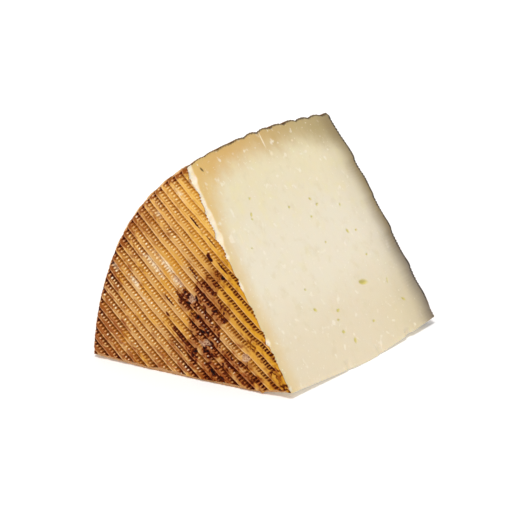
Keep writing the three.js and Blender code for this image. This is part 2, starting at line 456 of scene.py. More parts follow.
@dataclass(frozen=True)
class OpenCut(Cut):
    """The cut that looks up and to the right, with a brittle edge that has broken off along the front rind.

    A nick has its place along y, its depth and its reach, and a chip its out and its width.
    """

    swell: float = 0.9
    wave: float = 0.25
    wave_out: float = 13.0
    wave_along: float = 40.0
    nicks: tuple[tuple[float, float, float], ...] = ((86.0, 0.9, 2.4), (40.0, 0.5, 1.6), (63.0, 0.3, 2.0))
    nick_width: float = 2.6
    chip_depth: float = 0.55
    chips: tuple[tuple[float, float], ...] = (
        (0.0, 0.2),
        (19.0, 0.35),
        (21.0, 2.4),
        (23.5, 0.35),
        (42.0, 0.35),
        (45.0, 1.7),
        (48.0, 0.4),
        (54.0, 0.5),
        (58.0, 1.6),
        (62.0, 1.2),
        (66.0, 2.0),
        (72.0, 2.9),
        (80.0, 2.4),
        (90.0, 1.9),
        (97.0, 1.9),
    )

    def chip_width(self, out: Array) -> Array:
        """Width of the broken strip along the front edge: wide above, in patches below, and ragged.

        Args:
            out: Places out along the cut.

        Returns:
            Widths in mm.
        """
        noise = Noise(self.seed + 1)
        places, widths = zip(*self.chips)
        ragged = 1.0 + 0.3 * noise.line(out, 5.0)
        ragged = ragged + 0.25 * noise.line(out, 1.8, 9.0)
        return np.interp(out, places, widths) * ragged

    def chip(self, out: Array, along: Array) -> Array:
        """How deep the broken strip is: deepest at the front edge, running out across its width.

        Args:
            out: Places out along the cut.
            along: Places along y.

        Returns:
            Depths in mm.
        """
        wide = self.chip_width(out)
        deep = self.chip_depth * wide * (1.0 + 0.4 * Noise(self.seed).line(out, 2.6, 5.0))
        share = np.clip(1.0 - (along - self.wheel.front_edge(out)) / (wide + 0.1), 0.0, 1.0)
        return deep * share**self.edge_power

    def nick(self, out: Array, along: Array) -> Array:
        """How deep the small nicks in the thin edge are: bells along it, which run out across the cut.

        Args:
            out: Places out along the cut.
            along: Places along y.

        Returns:
            Depths in mm.
        """
        total = np.zeros(np.broadcast(out, along).shape)
        for place, depth, reach in self.nicks:
            total = total + depth * np.exp(-(((along - place) / reach) ** 4))
        return total * (1.0 - ramp(0.0, self.nick_width, out))

    def height(self, out: Array, along: Array) -> Array:
        """The swell of the cut, an arch both ways, and a slow wave left by the knife, less what broke off.

        Args:
            out: Places out along the cut.
            along: Places along y.

        Returns:
            Heights in mm.
        """
        u = np.clip(out / self.wheel.face_radius, 0.0, 1.0)
        v = np.clip(along / self.wheel.thickness, 0.0, 1.0)
        arch = 16.0 * u * (1.0 - u) * v * (1.0 - v)
        wave = self.wave * np.sin(out / self.wave_out + along / self.wave_along)
        return self.swell * arch + wave - self.chip(out, along) - self.nick(out, along)


@dataclass(frozen=True)
class Curl:
    """A corner of the lower cut that has curled up off the table: where it is, its lift and its reach."""

    x: float
    y: float
    lift: float
    reach_x: float
    reach_y: float


@dataclass(frozen=True)
class LowerCut(Cut):
    """The cut that the wedge lies on: flat, with its corners curled up and its front edge worn."""

    side: float = -1.0
    drop: float = 2.6
    worn: float = 1.5
    worn_width: float = 0.8
    curls: tuple[Curl, ...] = (
        Curl(0.0, 0.0, 2.6, -18.0, 50.0),
        Curl(0.0, 107.6, 3.2, -18.0, -50.0),
        Curl(-97.5, 2.0, 1.1, 28.0, 40.0),
        Curl(-97.5, 102.0, 1.1, 28.0, -40.0),
    )

    def height(self, out: Array, along: Array) -> Array:
        """How far under the axis the cut lies: its drop, less the corners' lift and the worn front edge.

        Args:
            out: Places out along the cut.
            along: Places along y.

        Returns:
            Heights in mm.
        """
        lift = np.zeros(np.broadcast(out, along).shape)
        for curl in self.curls:
            run = 1.0 - (-out - curl.x) / curl.reach_x - (along - curl.y) / curl.reach_y
            lift = np.maximum(lift, curl.lift * run)
        noise = Noise(self.seed + 7)
        share = np.clip(1.0 - (along - self.wheel.front_edge(out)) / self.worn_width, 0.0, 1.0)
        ragged = 0.75 + 0.5 * noise.line(out, 7.0)
        ragged = ragged + 0.6 * noise.line(out + 30.0, 1.6) * (1.0 - ramp(10.0, 26.0, out))
        return self.drop - lift - self.worn * ragged * share**self.edge_power * ramp(0.0, 4.0, out)


@dataclass(frozen=True)
class Apex:
    """The thin edge where the two cuts meet, near the wheel's axis."""

    opened: OpenCut
    lower: LowerCut
    rounds: int = 8

    def outs(self, along: Array, inset: float = 0.0) -> tuple[Array, Array]:
        """Where the edge lies on each cut.

        Both cuts' heights depend on the place, so it is settled in a few steps: the open cut's
        out is where its z meets the lower cut's.

        Args:
            along: Places along y.
            inset: How far inside both cuts the edge is wanted.

        Returns:
            The out of the edge on the open cut, and its out on the lower one.
        """
        angle = self.opened.level
        opened = np.zeros(np.shape(along))
        lower = np.zeros(np.shape(along))
        for _ in range(self.rounds):
            height = self.opened.height(opened, along) - inset
            level = -(self.lower.height(lower, along) - inset)
            opened = (level - height * math.cos(angle)) / math.sin(angle)
            x, _ = self.opened.place(opened, height)
            lower = -x
        return opened, lower


class Rows(Enum):
    """How the print's rows lie on a flat face.

    Each has the rows' angle in degrees, the phase of the crests in mm, the bow per mm, and the
    place along the rows where the bow is level.
    """

    FRONT = (-40.0, 0.15, 0.0013, -50.0)
    BACK = (-47.0, 1.45, 0.0, 0.0)


@dataclass(frozen=True)
class Mark:
    """A mark on a face: its place across (x) and up (z), half sizes, turn in degrees and strength."""

    x: float
    z: float
    long: float
    wide: float
    turn: float = 0.0
    strength: float = 1.0

    def reach(self, x: Array, z: Array) -> Array:
        """How far out in the mark places are, as shares of its half sizes: 0 in the middle, 1 on the rim.

        Args:
            x: Places across.
            z: Places up.

        Returns:
            The shares.
        """
        turn = math.radians(self.turn)
        dx = x - self.x
        dz = z - self.z
        a = (dx * math.cos(turn) + dz * math.sin(turn)) / self.long
        b = (dz * math.cos(turn) - dx * math.sin(turn)) / self.wide
        return np.hypot(a, b)

    def at(self, x: Array, z: Array, edge: float) -> Array:
        """How strongly the mark shows: its strength inside, fading from a share of its size to its rim."""
        return self.strength * (1.0 - ramp(edge, 1.0, self.reach(x, z)))


def strongest(marks: tuple[Mark, ...], x: Array, z: Array, edge: float) -> Array:
    """The strongest of several marks at each place.

    Args:
        marks: The marks.
        x: Places across.
        z: Places up.
        edge: The share of a mark's size from which it fades.

    Returns:
        How strongly they show.
    """
    found = np.zeros(np.broadcast(x, z).shape)
    for mark in marks:
        found = np.maximum(found, mark.at(x, z, edge))
    return found


@dataclass(frozen=True)
class Print:
    """The print of the mould's esparto mats on a flat face.

    It has rows like lapped boards, with rungs under each lap and a bead at the foot of each rung.
    Pairs of sizes are those of the worn print and of the crisp one, in mm down from a row's crest.
    """

    rows: Rows
    seed: int
    wheel: Wheel
    pitch: float = 4.09
    depth: float = 0.7
    rung_fine: float = 1.34
    rung_coarse: float = 1.5
    rung_foot: tuple[float, float] = (2.65, 2.1)
    pit_foot: tuple[float, float] = (0.75, 1.35)
    bead_from: tuple[tuple[float, float], ...] = ((0.95, 0.5), (1.5, 1.1))
    bead_to: tuple[tuple[float, float], ...] = ((2.1, 1.9), (2.65, 2.4))
    line_at: float = 3.3
    thread_at: float = 2.9
    torn: tuple[Mark, ...] = (
        Mark(-1.5, 3.0, 13.0, 4.5, -32.0, 1.0),
        Mark(-17.2, 16.4, 4.6, 2.6, -40.0, 1.0),
    )

    def coordinates(self, x: Array, z: Array) -> tuple[Array, Array]:
        """The places along (p) and across (q) the rows, which bow like a parabola.

        Args:
            x: Places across the wheel.
            z: Places up it.

        Returns:
            p and q, in mm.
        """
        angle, _, bow, centre = self.rows.value
        turn = math.radians(angle)
        p = x * math.cos(turn) + z * math.sin(turn)
        q = -x * math.sin(turn) + z * math.cos(turn)
        return p, q - 0.5 * bow * (p - centre) ** 2

    def crisp(self, x: Array, z: Array) -> Array:
        """How crisp the print is: on the front, in a strip along the lower part of the open cut.

        Args:
            x: Places across the wheel.
            z: Places up it.

        Returns:
            Shares from 0 to 1.
        """
        if self.rows is Rows.BACK:
            return np.zeros(np.shape(x))
        away = self.wheel.from_open(*polar(x, z))
        return (1.0 - ramp(9.0, 20.0, away)) * (1.0 - ramp(42.0, 54.0, z))

    def lay(self, p: Array, q: Array) -> Array:
        """The places across the rows as these wander: q with two noises added.

        On the front the mats slipped, so the rows step aside across the middle, towards the tip and
        at the far left.

        Args:
            p: Places along the rows.
            q: Places across them.

        Returns:
            The places across, in mm.
        """
        lay = q + 0.16 * Noise(self.seed).at(p, q, 11.0) + 0.07 * Noise(self.seed + 1).at(p, q, 2.4)
        if self.rows is Rows.FRONT:
            lay = lay - 0.5 * np.tanh((q + 1.0) / 3.0)
            lay = lay - 0.75 * ramp(-26.0, -21.0, p) * ramp(-16.0, -8.0, -np.abs(q))
            lay = lay + 0.3 * ramp(-5.0, 4.0, q) * (1.0 - ramp(-80.0, -73.0, p))
        return lay

    def rungs(self, p: Array, row: Array, down: Array, crisp: Array) -> tuple[Array, Array, Array]:
        """The rungs along the rows, where a cosine of the way along is high.

        Rungs follow each other with a phase and a lean by the row, a drift, and a width by the rung.

        Args:
            p: Places along the rows.
            row: The rows' numbers.
            down: Places down from a row's crest.
            crisp: How crisp the print is.

        Returns:
            How far a place is on a rung, and two random values of that rung, all from 0 to 1.
        """
        slow = Noise(self.seed)
        quick = Noise(self.seed + 1)
        coarseness = np.clip((row * self.pitch + 10.0) / 60.0, 0.0, 1.0)
        shift = quick.cells(row, row * 0 + 3)
        lean = 0.3 + 0.3 * (quick.cells(row, row * 0 + 5) - 0.5)
        drift = 0.5 * slow.at(p, row * 7.3, 9.0) + 0.2 * quick.at(p, row * 5.1, 2.4)
        way = p + lean * (down - 1.3) + drift
        step = way / mix(self.rung_fine, self.rung_coarse, coarseness) + shift
        number = np.floor(step)
        wave = np.cos(2.0 * np.pi * (step - number - 0.5))
        uneven = quick.cells(number, row + 40)
        bar = ramp(mix(-0.25 - 0.35 * uneven, -0.1, crisp), mix(0.55, 0.3, crisp), wave)
        return bar, uneven, quick.cells(number, row + 11)

    def relief(self, x: Array, z: Array) -> dict[str, Array]:
        """The height of the print and what its parts are, at places of a face.

        Across a row, going down: the crest, a steep wall, pits with rungs between them, a bead at
        the lower end of each rung, and a gentle slope that rises again to the next crest.

        Args:
            x: Places across the wheel.
            z: Places up it.

        Returns:
            height in mm, and from 0 to 1 the crest, bead, pit, gap between rungs, torn share and a
            random value for each gap (cell).
        """
        slow = Noise(self.seed)
        quick = Noise(self.seed + 1)
        p, q = self.coordinates(x, z)
        _, phase, _, _ = self.rows.value
        turns = (phase - self.lay(p, q)) / self.pitch
        row = np.floor(turns)
        down = (turns - row) * self.pitch
        crisp = self.crisp(x, z)
        bar, uneven, cell = self.rungs(p, row, down, crisp)
        soft = 1.0 - crisp

        # Where down the row each part lies
        under = ramp(0.06, 0.32, down)
        end = mix(*self.pit_foot, crisp) + 0.5 * uneven
        deep = under * (1.0 - ramp(end, end + mix(0.55, 0.3, crisp), down))
        foot = mix(*self.rung_foot, crisp) + 0.5 * (uneven - 0.5) + 0.3 * slow.at(p, row * 3.1, 6.0)
        shallow = under * (1.0 - ramp(foot - 0.5, foot + 0.25, down))
        along_rung = ramp(0.45, 1.25, down) * (1.0 - ramp(foot - 0.45, foot + 0.2, down))
        rise, top = (mix(*pair, crisp) for pair in self.bead_from)
        fall, stop = (mix(*pair, crisp) for pair in self.bead_to)
        tip = ramp(rise, top, down) * (1.0 - ramp(fall, stop, down))
        line = np.exp(-(((down - self.line_at - 0.12 * slow.at(p, row * 4.7, 5.0)) / 0.12) ** 2))
        line = line * ramp(-0.25, 0.45, quick.at(0.3 * p, row * 9.1, 2.0)) * soft
        thread = down - self.thread_at + 0.2 * slow.at(p + 30.0, row * 2.3, 7.0)
        thread = np.exp(-((thread / 0.13) ** 2))
        thread = thread * ramp(-0.1, 0.5, quick.at(0.3 * p + 40.0, row * 6.3, 2.5)) * soft

        # The height, as a share of the print's depth, and where the print is torn away
        between = mix(0.0, 0.42, ramp(0.9, foot, down))
        rung = mix(0.3, 0.56, ramp(0.1, 1.1, down))
        slope = 0.48 + 0.52 * np.clip((down - foot) / (self.pitch - foot), 0.0, 1.0)
        level = mix(mix(between, rung, bar), slope, ramp(foot - 0.15, foot + 0.2, down))
        level = level + (0.06 * along_rung + 0.2 * tip) * bar * mix(0.5, 1.1, uneven) - 0.12 * line
        level = mix(level, 1.0, 1.0 - ramp(0.0, 0.35, down))
        torn = strongest(self.torn, x, z, 0.4) if self.rows is Rows.FRONT else np.zeros(np.shape(p))
        whole = 1.0 - torn
        lumps = np.abs(quick.layers(x + 15.0, z, 1.9, 2))
        level = mix(level, 0.35 + 1.3 * lumps, torn)
        worn = mix(0.72, 1.0, slow.cloud(p + 50.0, q, 14.0, 1))
        height = self.depth * level * worn + 0.12 * slow.at(p, q + 70.0, 5.0)
        height = height + 0.035 * quick.layers(x, z, 0.9, 3)

        # What the colours need: crests and beads, painted pale as highlights, and pits and gaps, painted
        # dark as shade in the recesses
        up_side = np.exp(-(((self.pitch - down) / 0.3) ** 2))
        down_side = np.exp(-((down / 0.2) ** 2))
        crest = np.maximum.reduce((up_side, down_side, 0.65 * thread)) * whole
        strength = mix(mix(0.4, 0.6, crisp), 1.15, cell)
        pit = (1.0 - bar) * (0.4 * shallow + 0.62 * deep * strength)
        # Painted shade on the upper part of each rung under the lap, and a painted shadow just under each
        # crest
        pit = pit + mix(0.34, 0.06, crisp) * deep * bar
        pit = pit + 0.25 * under * (1.0 - ramp(0.3, 0.7, down)) + 0.34 * line
        pit = mix(pit, 1.0 - ramp(0.02, 0.2, lumps), torn)
        # The beads' paleness and glints are painted highlights, strong on some rungs and faint on others
        sparkle = ramp(0.1, 0.65, quick.layers(p + 11.0, q + 5.0, 0.9, 2))
        shine = mix(0.36, 0.72, uneven) * (0.85 + 0.5 * slow.at(p + 20.0, q + 20.0, 9.0))
        shine = shine + 0.7 * sparkle
        bead = bar * tip * shine * (1.0 - 0.6 * crisp) * whole + 0.3 * torn * sparkle
        gap = (1.0 - bar) * shallow * whole
        parts = {"height": height, "crest": crest, "gap": gap, "cell": cell, "torn": torn}
        return {**parts, "bead": np.clip(bead, 0.0, 1.0), "pit": np.clip(pit, 0.0, 1.0)}


@dataclass(frozen=True)
class Band:
    """The print of the plaited band round the side: strands that zigzag at 45 degrees, with fine fibres."""

    wheel: Wheel = Wheel()
    seed: int = 71
    width: float = 18.3
    start: float = 5.0
    depth: float = 0.72
    fibres: float = 5.0
    rung_pitch: float = 1.6

    @property
    def pitch(self) -> float:
        """Distance between strands, measured round the wheel."""
        return self.width / 2.0

    def relief(self, arc: Array, along: Array) -> dict[str, Array]:
        """The height of the print and what its parts are, at places of the side.

        The strand's own coordinate is the way round the wheel, less a triangle wave along the
        wheel's width. Its ribs are rounded, with fibres on them and a seam at each turn.

        Args:
            arc: Places round the wheel, in mm from the level.
            along: Places along y.

        Returns:
            height in mm, and crest, bead and pit from 0 to 1.
        """
        slow = Noise(self.seed)
        quick = Noise(self.seed + 1)
        bands = (along - self.start) / self.width + 0.02 * slow.at(arc, along, 9.0)
        within = np.abs(np.mod(bands, 2.0) - 1.0)
        last = self.wheel.face_radius * self.wheel.wedge_angle - self.width / 4.0
        lay = arc - within * self.width - last + 0.45 * slow.at(arc, along, 10.0)
        turns = lay / self.pitch
        strand = np.floor(turns + 0.5)
        offset = turns - strand
        rounded = np.cos(np.pi * np.clip(offset * 1.12, -0.5, 0.5)) ** 0.8
        fibre = np.cos(2.0 * np.pi * (offset * self.fibres + 0.3 * slow.at(arc + 20.0, along, 6.0)))
        seam = 1.0 - ramp(0.0, 0.06, np.abs(bands - np.round(bands)))
        cross = (along + 0.4 * slow.at(arc, along, 5.0)) / self.rung_pitch
        rung = 0.5 + 0.5 * np.cos(2.0 * np.pi * (cross + quick.cells(strand, strand * 0 + 2)))
        strength = mix(0.5, 1.0, ramp(34.0, 46.0, along))
        height = self.depth * rounded * strength + 0.07 * fibre + 0.05 * rung * rounded
        height = height - 0.28 * seam * rounded + 0.1 * slow.at(arc, along + 50.0, 4.0)
        height = height + 0.03 * quick.layers(arc, along, 1.1, 3)
        # The strands' tops painted paler as a highlight, with their fibres, and the grooves and seams
        # painted darker as shade
        crest = np.clip(rounded, 0.0, 1.0) * (0.65 + 0.35 * (0.5 + 0.5 * fibre))
        pit = np.clip((1.0 - rounded) + 0.6 * seam, 0.0, 1.0) * (0.7 + 0.3 * rung)
        return {"height": height, "crest": crest, "bead": rung * rounded * 0.3, "pit": pit}


@dataclass(frozen=True)
class Weathering:
    """What has happened to the front face's rind: mould, scars, scuffed wax with painted glints, and cracks,
    listed one by one.
    """

    seed: int = 31
    mould: tuple[Mark, ...] = (
        Mark(-37.5, 37.0, 13.0, 6.0, 48.0, 0.75),
        Mark(-49.0, 31.5, 7.0, 4.5, -45.0, 0.6),
        Mark(-35.0, 28.5, 11.0, 7.0, -25.0, 1.0),
        Mark(-45.0, 29.5, 9.0, 5.5, 0.0, 0.9),
        Mark(-42.0, 20.0, 11.0, 9.0, 80.0, 1.0),
        Mark(-35.5, 20.0, 6.0, 5.5, -40.0, 0.9),
        Mark(-46.5, 9.5, 10.0, 5.0, 85.0, 1.0),
        Mark(-36.5, 12.0, 9.0, 6.5, 60.0, 1.0),
        Mark(-21.0, 8.0, 6.0, 3.6, -20.0, 0.6),
        Mark(-35.5, 2.5, 10.0, 6.0, 0.0, 1.0),
        Mark(-29.0, 8.0, 6.5, 5.0, -30.0, 0.7),
        Mark(-20.0, 2.5, 11.0, 5.0, 0.0, 1.0),
        Mark(-52.0, 14.0, 7.0, 2.2, -40.0, 0.4),
    )
    black: tuple[Mark, ...] = (
        Mark(-49.2, 32.8, 1.6, 0.8, 60.0, 0.6),
        Mark(-43.9, 31.4, 2.4, 0.9, -70.0, 1.0),
        Mark(-47.5, 29.2, 2.0, 0.7, -20.0, 0.8),
        Mark(-52.5, 31.0, 3.2, 0.9, -48.0, 0.45),
        Mark(-41.2, 18.2, 2.0, 1.5, -30.0, 1.0),
        Mark(-42.6, 23.4, 2.6, 1.5, 20.0, 0.7),
        Mark(-46.0, 21.0, 2.0, 1.0, -40.0, 0.6),
        Mark(-44.8, 9.6, 1.7, 1.2, 10.0, 0.95),
        Mark(-39.0, 10.6, 1.7, 0.9, 20.0, 0.9),
        Mark(-36.6, 14.2, 1.8, 0.9, -50.0, 0.7),
        Mark(-36.8, 48.8, 2.4, 1.6, -60.0, 0.6),
        Mark(-31.0, 41.4, 1.6, 1.2, 0.0, 0.7),
        Mark(-40.0, 33.4, 2.8, 1.1, -40.0, 0.6),
        Mark(-35.0, 38.2, 2.0, 1.0, -60.0, 0.5),
        Mark(-37.0, 2.4, 3.4, 1.2, -40.0, 0.8),
        Mark(-32.4, 0.8, 1.8, 1.0, -40.0, 0.8),
        Mark(-17.5, 15.2, 1.5, 0.7, -40.0, 0.5),
    )
    scars: tuple[Mark, ...] = (
        Mark(-46.4, 30.8, 2.6, 1.7, 70.0, 1.0),
        Mark(-40.2, 13.2, 3.2, 1.8, 25.0, 0.9),
        Mark(-20.6, 10.8, 2.6, 1.2, 55.0, 1.0),
        Mark(-52.0, 36.8, 4.5, 1.6, -35.0, 0.5),
    )
    # Whitish scuffs of wax along the rows; the second mark is a painted glint
    wax_and_glint: tuple[Mark, ...] = (
        Mark(-64.5, 41.4, 9.0, 1.7, -42.0, 1.0),
        Mark(-62.8, 39.5, 2.2, 1.5, -40.0, 1.0),
        Mark(-59.0, 43.2, 9.0, 2.0, -37.0, 1.0),
        Mark(-54.0, 37.0, 5.5, 3.0, -42.0, 0.35),
        Mark(-73.9, 32.8, 4.8, 1.6, -46.0, 0.95),
        Mark(-84.0, 38.0, 3.5, 1.6, -42.0, 0.5),
        Mark(-50.0, 71.5, 6.0, 1.5, -42.0, 0.5),
        Mark(-62.0, 63.0, 3.5, 1.5, -42.0, 0.5),
        Mark(-70.0, 27.5, 7.0, 1.6, -41.0, 0.45),
    )
    cracks: tuple[Mark, ...] = (
        Mark(-43.6, 61.6, 4.5, 0.6, -42.0, 1.0),
        Mark(-36.0, 55.0, 5.0, 0.45, -41.0, 0.6),
        Mark(-30.6, 45.2, 4.5, 0.65, -40.0, 1.0),
        Mark(-45.0, 41.6, 4.2, 0.6, -42.0, 0.8),
        Mark(-42.4, 38.2, 5.0, 0.5, -40.0, 0.6),
        Mark(-57.1, 28.4, 4.5, 0.6, -42.0, 0.9),
        Mark(-51.9, 13.6, 8.0, 0.6, -41.0, 0.9),
        Mark(-53.4, 9.5, 6.0, 0.5, -41.0, 0.7),
        Mark(-58.0, 22.6, 1.8, 0.7, -42.0, 0.9),
    )

    def at(self, x: Array, z: Array) -> dict[str, Array]:
        """The weathering at places of the front face.

        Marks are read through a wobble, so their rims are ragged, and broken up by finer noise.

        Args:
            x: Places across the wheel.
            z: Places up it.

        Returns:
            mould, black, scar and wax with its painted glints, from 0 to 1.
        """
        slow = Noise(self.seed)
        quick = Noise(self.seed + 1)
        wide = 1.5 * slow.at(x, z, 5.0)
        tall = 1.5 * slow.at(x + 40.0, z, 5.0)
        fine = 0.7 * quick.at(x, z, 1.7)
        patchy = quick.cloud(x, z, 3.2)
        speckled = quick.cloud(x + 20.0, z, 1.3)
        mould = strongest(self.mould, x + wide + fine, z + tall - fine, 0.25)
        mould = ramp(0.06, 0.48, mould * (0.3 + patchy))
        black = strongest(self.black, x + fine, z - fine, 0.2)
        black = ramp(0.08, 0.75, black * (0.6 + 0.9 * speckled))
        cracks = 0.8 * strongest(self.cracks, x + 0.3 * fine, z, 0.3)
        specks = 0.85 * mould * ramp(0.6, 0.74, speckled)
        scar = strongest(self.scars, x + 1.6 * fine, z - 1.2 * fine, 0.5) * (0.4 + 0.9 * patchy)
        wax_and_glint = strongest(self.wax_and_glint, x + 1.3 * fine, z - 1.3 * fine, 0.1) * (0.6 + 0.8 * patchy)
        return {
            "mould": mould,
            "black": np.maximum.reduce((black, cracks, specks)),
            "scar": ramp(0.22, 0.42, scar),
            "wax_and_glint": wax_and_glint,
        }


@dataclass
class Socket:
    """An output of a shader node that can be used in sums."""

    tree: "Tree"
    socket: bpy.types.NodeSocket

    def _maths(self, operation: str, *values: "Value") -> "Socket":
        """A Math node on values."""
        return self.tree.node("ShaderNodeMath", {"operation": operation}, dict(enumerate(values)))

    def __add__(self, other: "Value") -> "Socket":
        """The sum of two values."""
        return self._maths("ADD", self, other)

    __radd__ = __add__

    def __sub__(self, other: "Value") -> "Socket":
        """This value less another."""
        return self._maths("SUBTRACT", self, other)

    def __rsub__(self, other: "Value") -> "Socket":
        """Another value less this one."""
        return self._maths("SUBTRACT", other, self)

    def __mul__(self, other: "Value") -> "Socket":
        """The product of two values."""
        return self._maths("MULTIPLY", self, other)

    __rmul__ = __mul__

    def clamp(self) -> "Socket":
        """The value kept from 0 to 1."""
        return self.tree.node("ShaderNodeClamp", {}, {"Value": self, "Min": 0.0, "Max": 1.0})

    def ramp(self, start: float, stop: float) -> "Socket":
        """A smooth step from 0 at start to 1 at stop, which may lie below start.

        Args:
            start: The value at which the step begins.
            stop: The value at which it ends.

        Returns:
            The step.
        """
        settings = {"interpolation_type": "SMOOTHSTEP"}
        limits = {"From Min": min(start, stop), "From Max": max(start, stop), "To Min": 0.0, "To Max": 1.0}
        step = self.tree.node("ShaderNodeMapRange", settings, {"Value": self, **limits})
        return step if start <= stop else 1.0 - step


Value = Socket | float | int | tuple


class Tree:
    """A material's nodes."""

    def __init__(self, name: str) -> None:
        """Starts a material with no nodes.

        Args:
            name: The material's name.
        """
        self.material = bpy.data.materials.new(name)
        self.material.use_nodes = True
        self.nodes = self.material.node_tree.nodes
        self.links = self.material.node_tree.links
        self.nodes.clear()

    def add(self, kind: str, settings: dict, inputs: dict) -> bpy.types.Node:
        """Adds a node.

        Args:
            kind: The node's type.
            settings: Its own settings, set before its sockets.
            inputs: Values or links for its sockets, by name or number.

        Returns:
            The node.
        """
        made = self.nodes.new(kind)
        for name, value in settings.items():
            setattr(made, name, value)
        for name, value in inputs.items():
            if isinstance(value, Socket):
                self.links.new(value.socket, made.inputs[name])
            else:
                made.inputs[name].default_value = value
        return made

    def node(self, kind: str, settings: dict, inputs: dict, output: int | str = 0) -> Socket:
        """Adds a node as above, and hands back one of its outputs."""
        return Socket(self, self.add(kind, settings, inputs).outputs[output])

    def value(self, name: str) -> Socket:
        """A value stored at the mesh's places."""
        return self.node("ShaderNodeAttribute", {"attribute_name": name}, {}, "Fac")

    def places(self) -> Socket:
        """The place on the object, in metres."""
        return self.node("ShaderNodeTexCoord", {}, {}, "Object")

    def noise(self, size: float, detail: float = 3.0, rough: float = 0.5) -> Socket:
        """Noise over the object.

        Args:
            size: About the size of its features, in mm.
            detail: How many finer layers it has.
            rough: How strong each of them is against the one before.

        Returns:
            The noise, from 0 to 1.
        """
        scale = 1.0 / (size * MM)
        sockets = {"Vector": self.places(), "Scale": scale, "Detail": detail, "Roughness": rough}
        return self.node("ShaderNodeTexNoise", {}, sockets, "Fac")

    def blend(self, a: Value, b: Value, share: Value) -> Socket:
        """The colour that lies a share of the way from a to b."""
        settings = {"data_type": "RGBA", "clamp_factor": True}
        return self.node("ShaderNodeMix", settings, {0: share, 6: a, 7: b}, 2)

    def surface(self, settings: dict, shader: dict) -> bpy.types.Material:
        """Joins a surface shader to the output.

        Args:
            settings: The shader's own settings.
            shader: Values or links of its sockets.

        Returns:
            The material.
        """
        surface = self.node("ShaderNodeBsdfPrincipled", settings, shader, "BSDF")
        self.add("ShaderNodeOutputMaterial", {}, {"Surface": surface})
        return self.material

    def finish(self, shader: dict, bump: Socket, bump_distance: float) -> bpy.types.Material:
        """Joins a surface with fine grain to the output.

        Args:
            shader: Values or links of the shader's sockets.
            bump: The grain's height, from 0 to 1.
            bump_distance: What a height of 1 measures, in mm.

        Returns:
            The material.
        """
        heights = {"Height": bump, "Distance": bump_distance * MM, "Strength": 1.0}
        normal = self.node("ShaderNodeBump", {}, heights, "Normal")
        return self.surface({"subsurface_method": "RANDOM_WALK"}, {**shader, "Normal": normal})


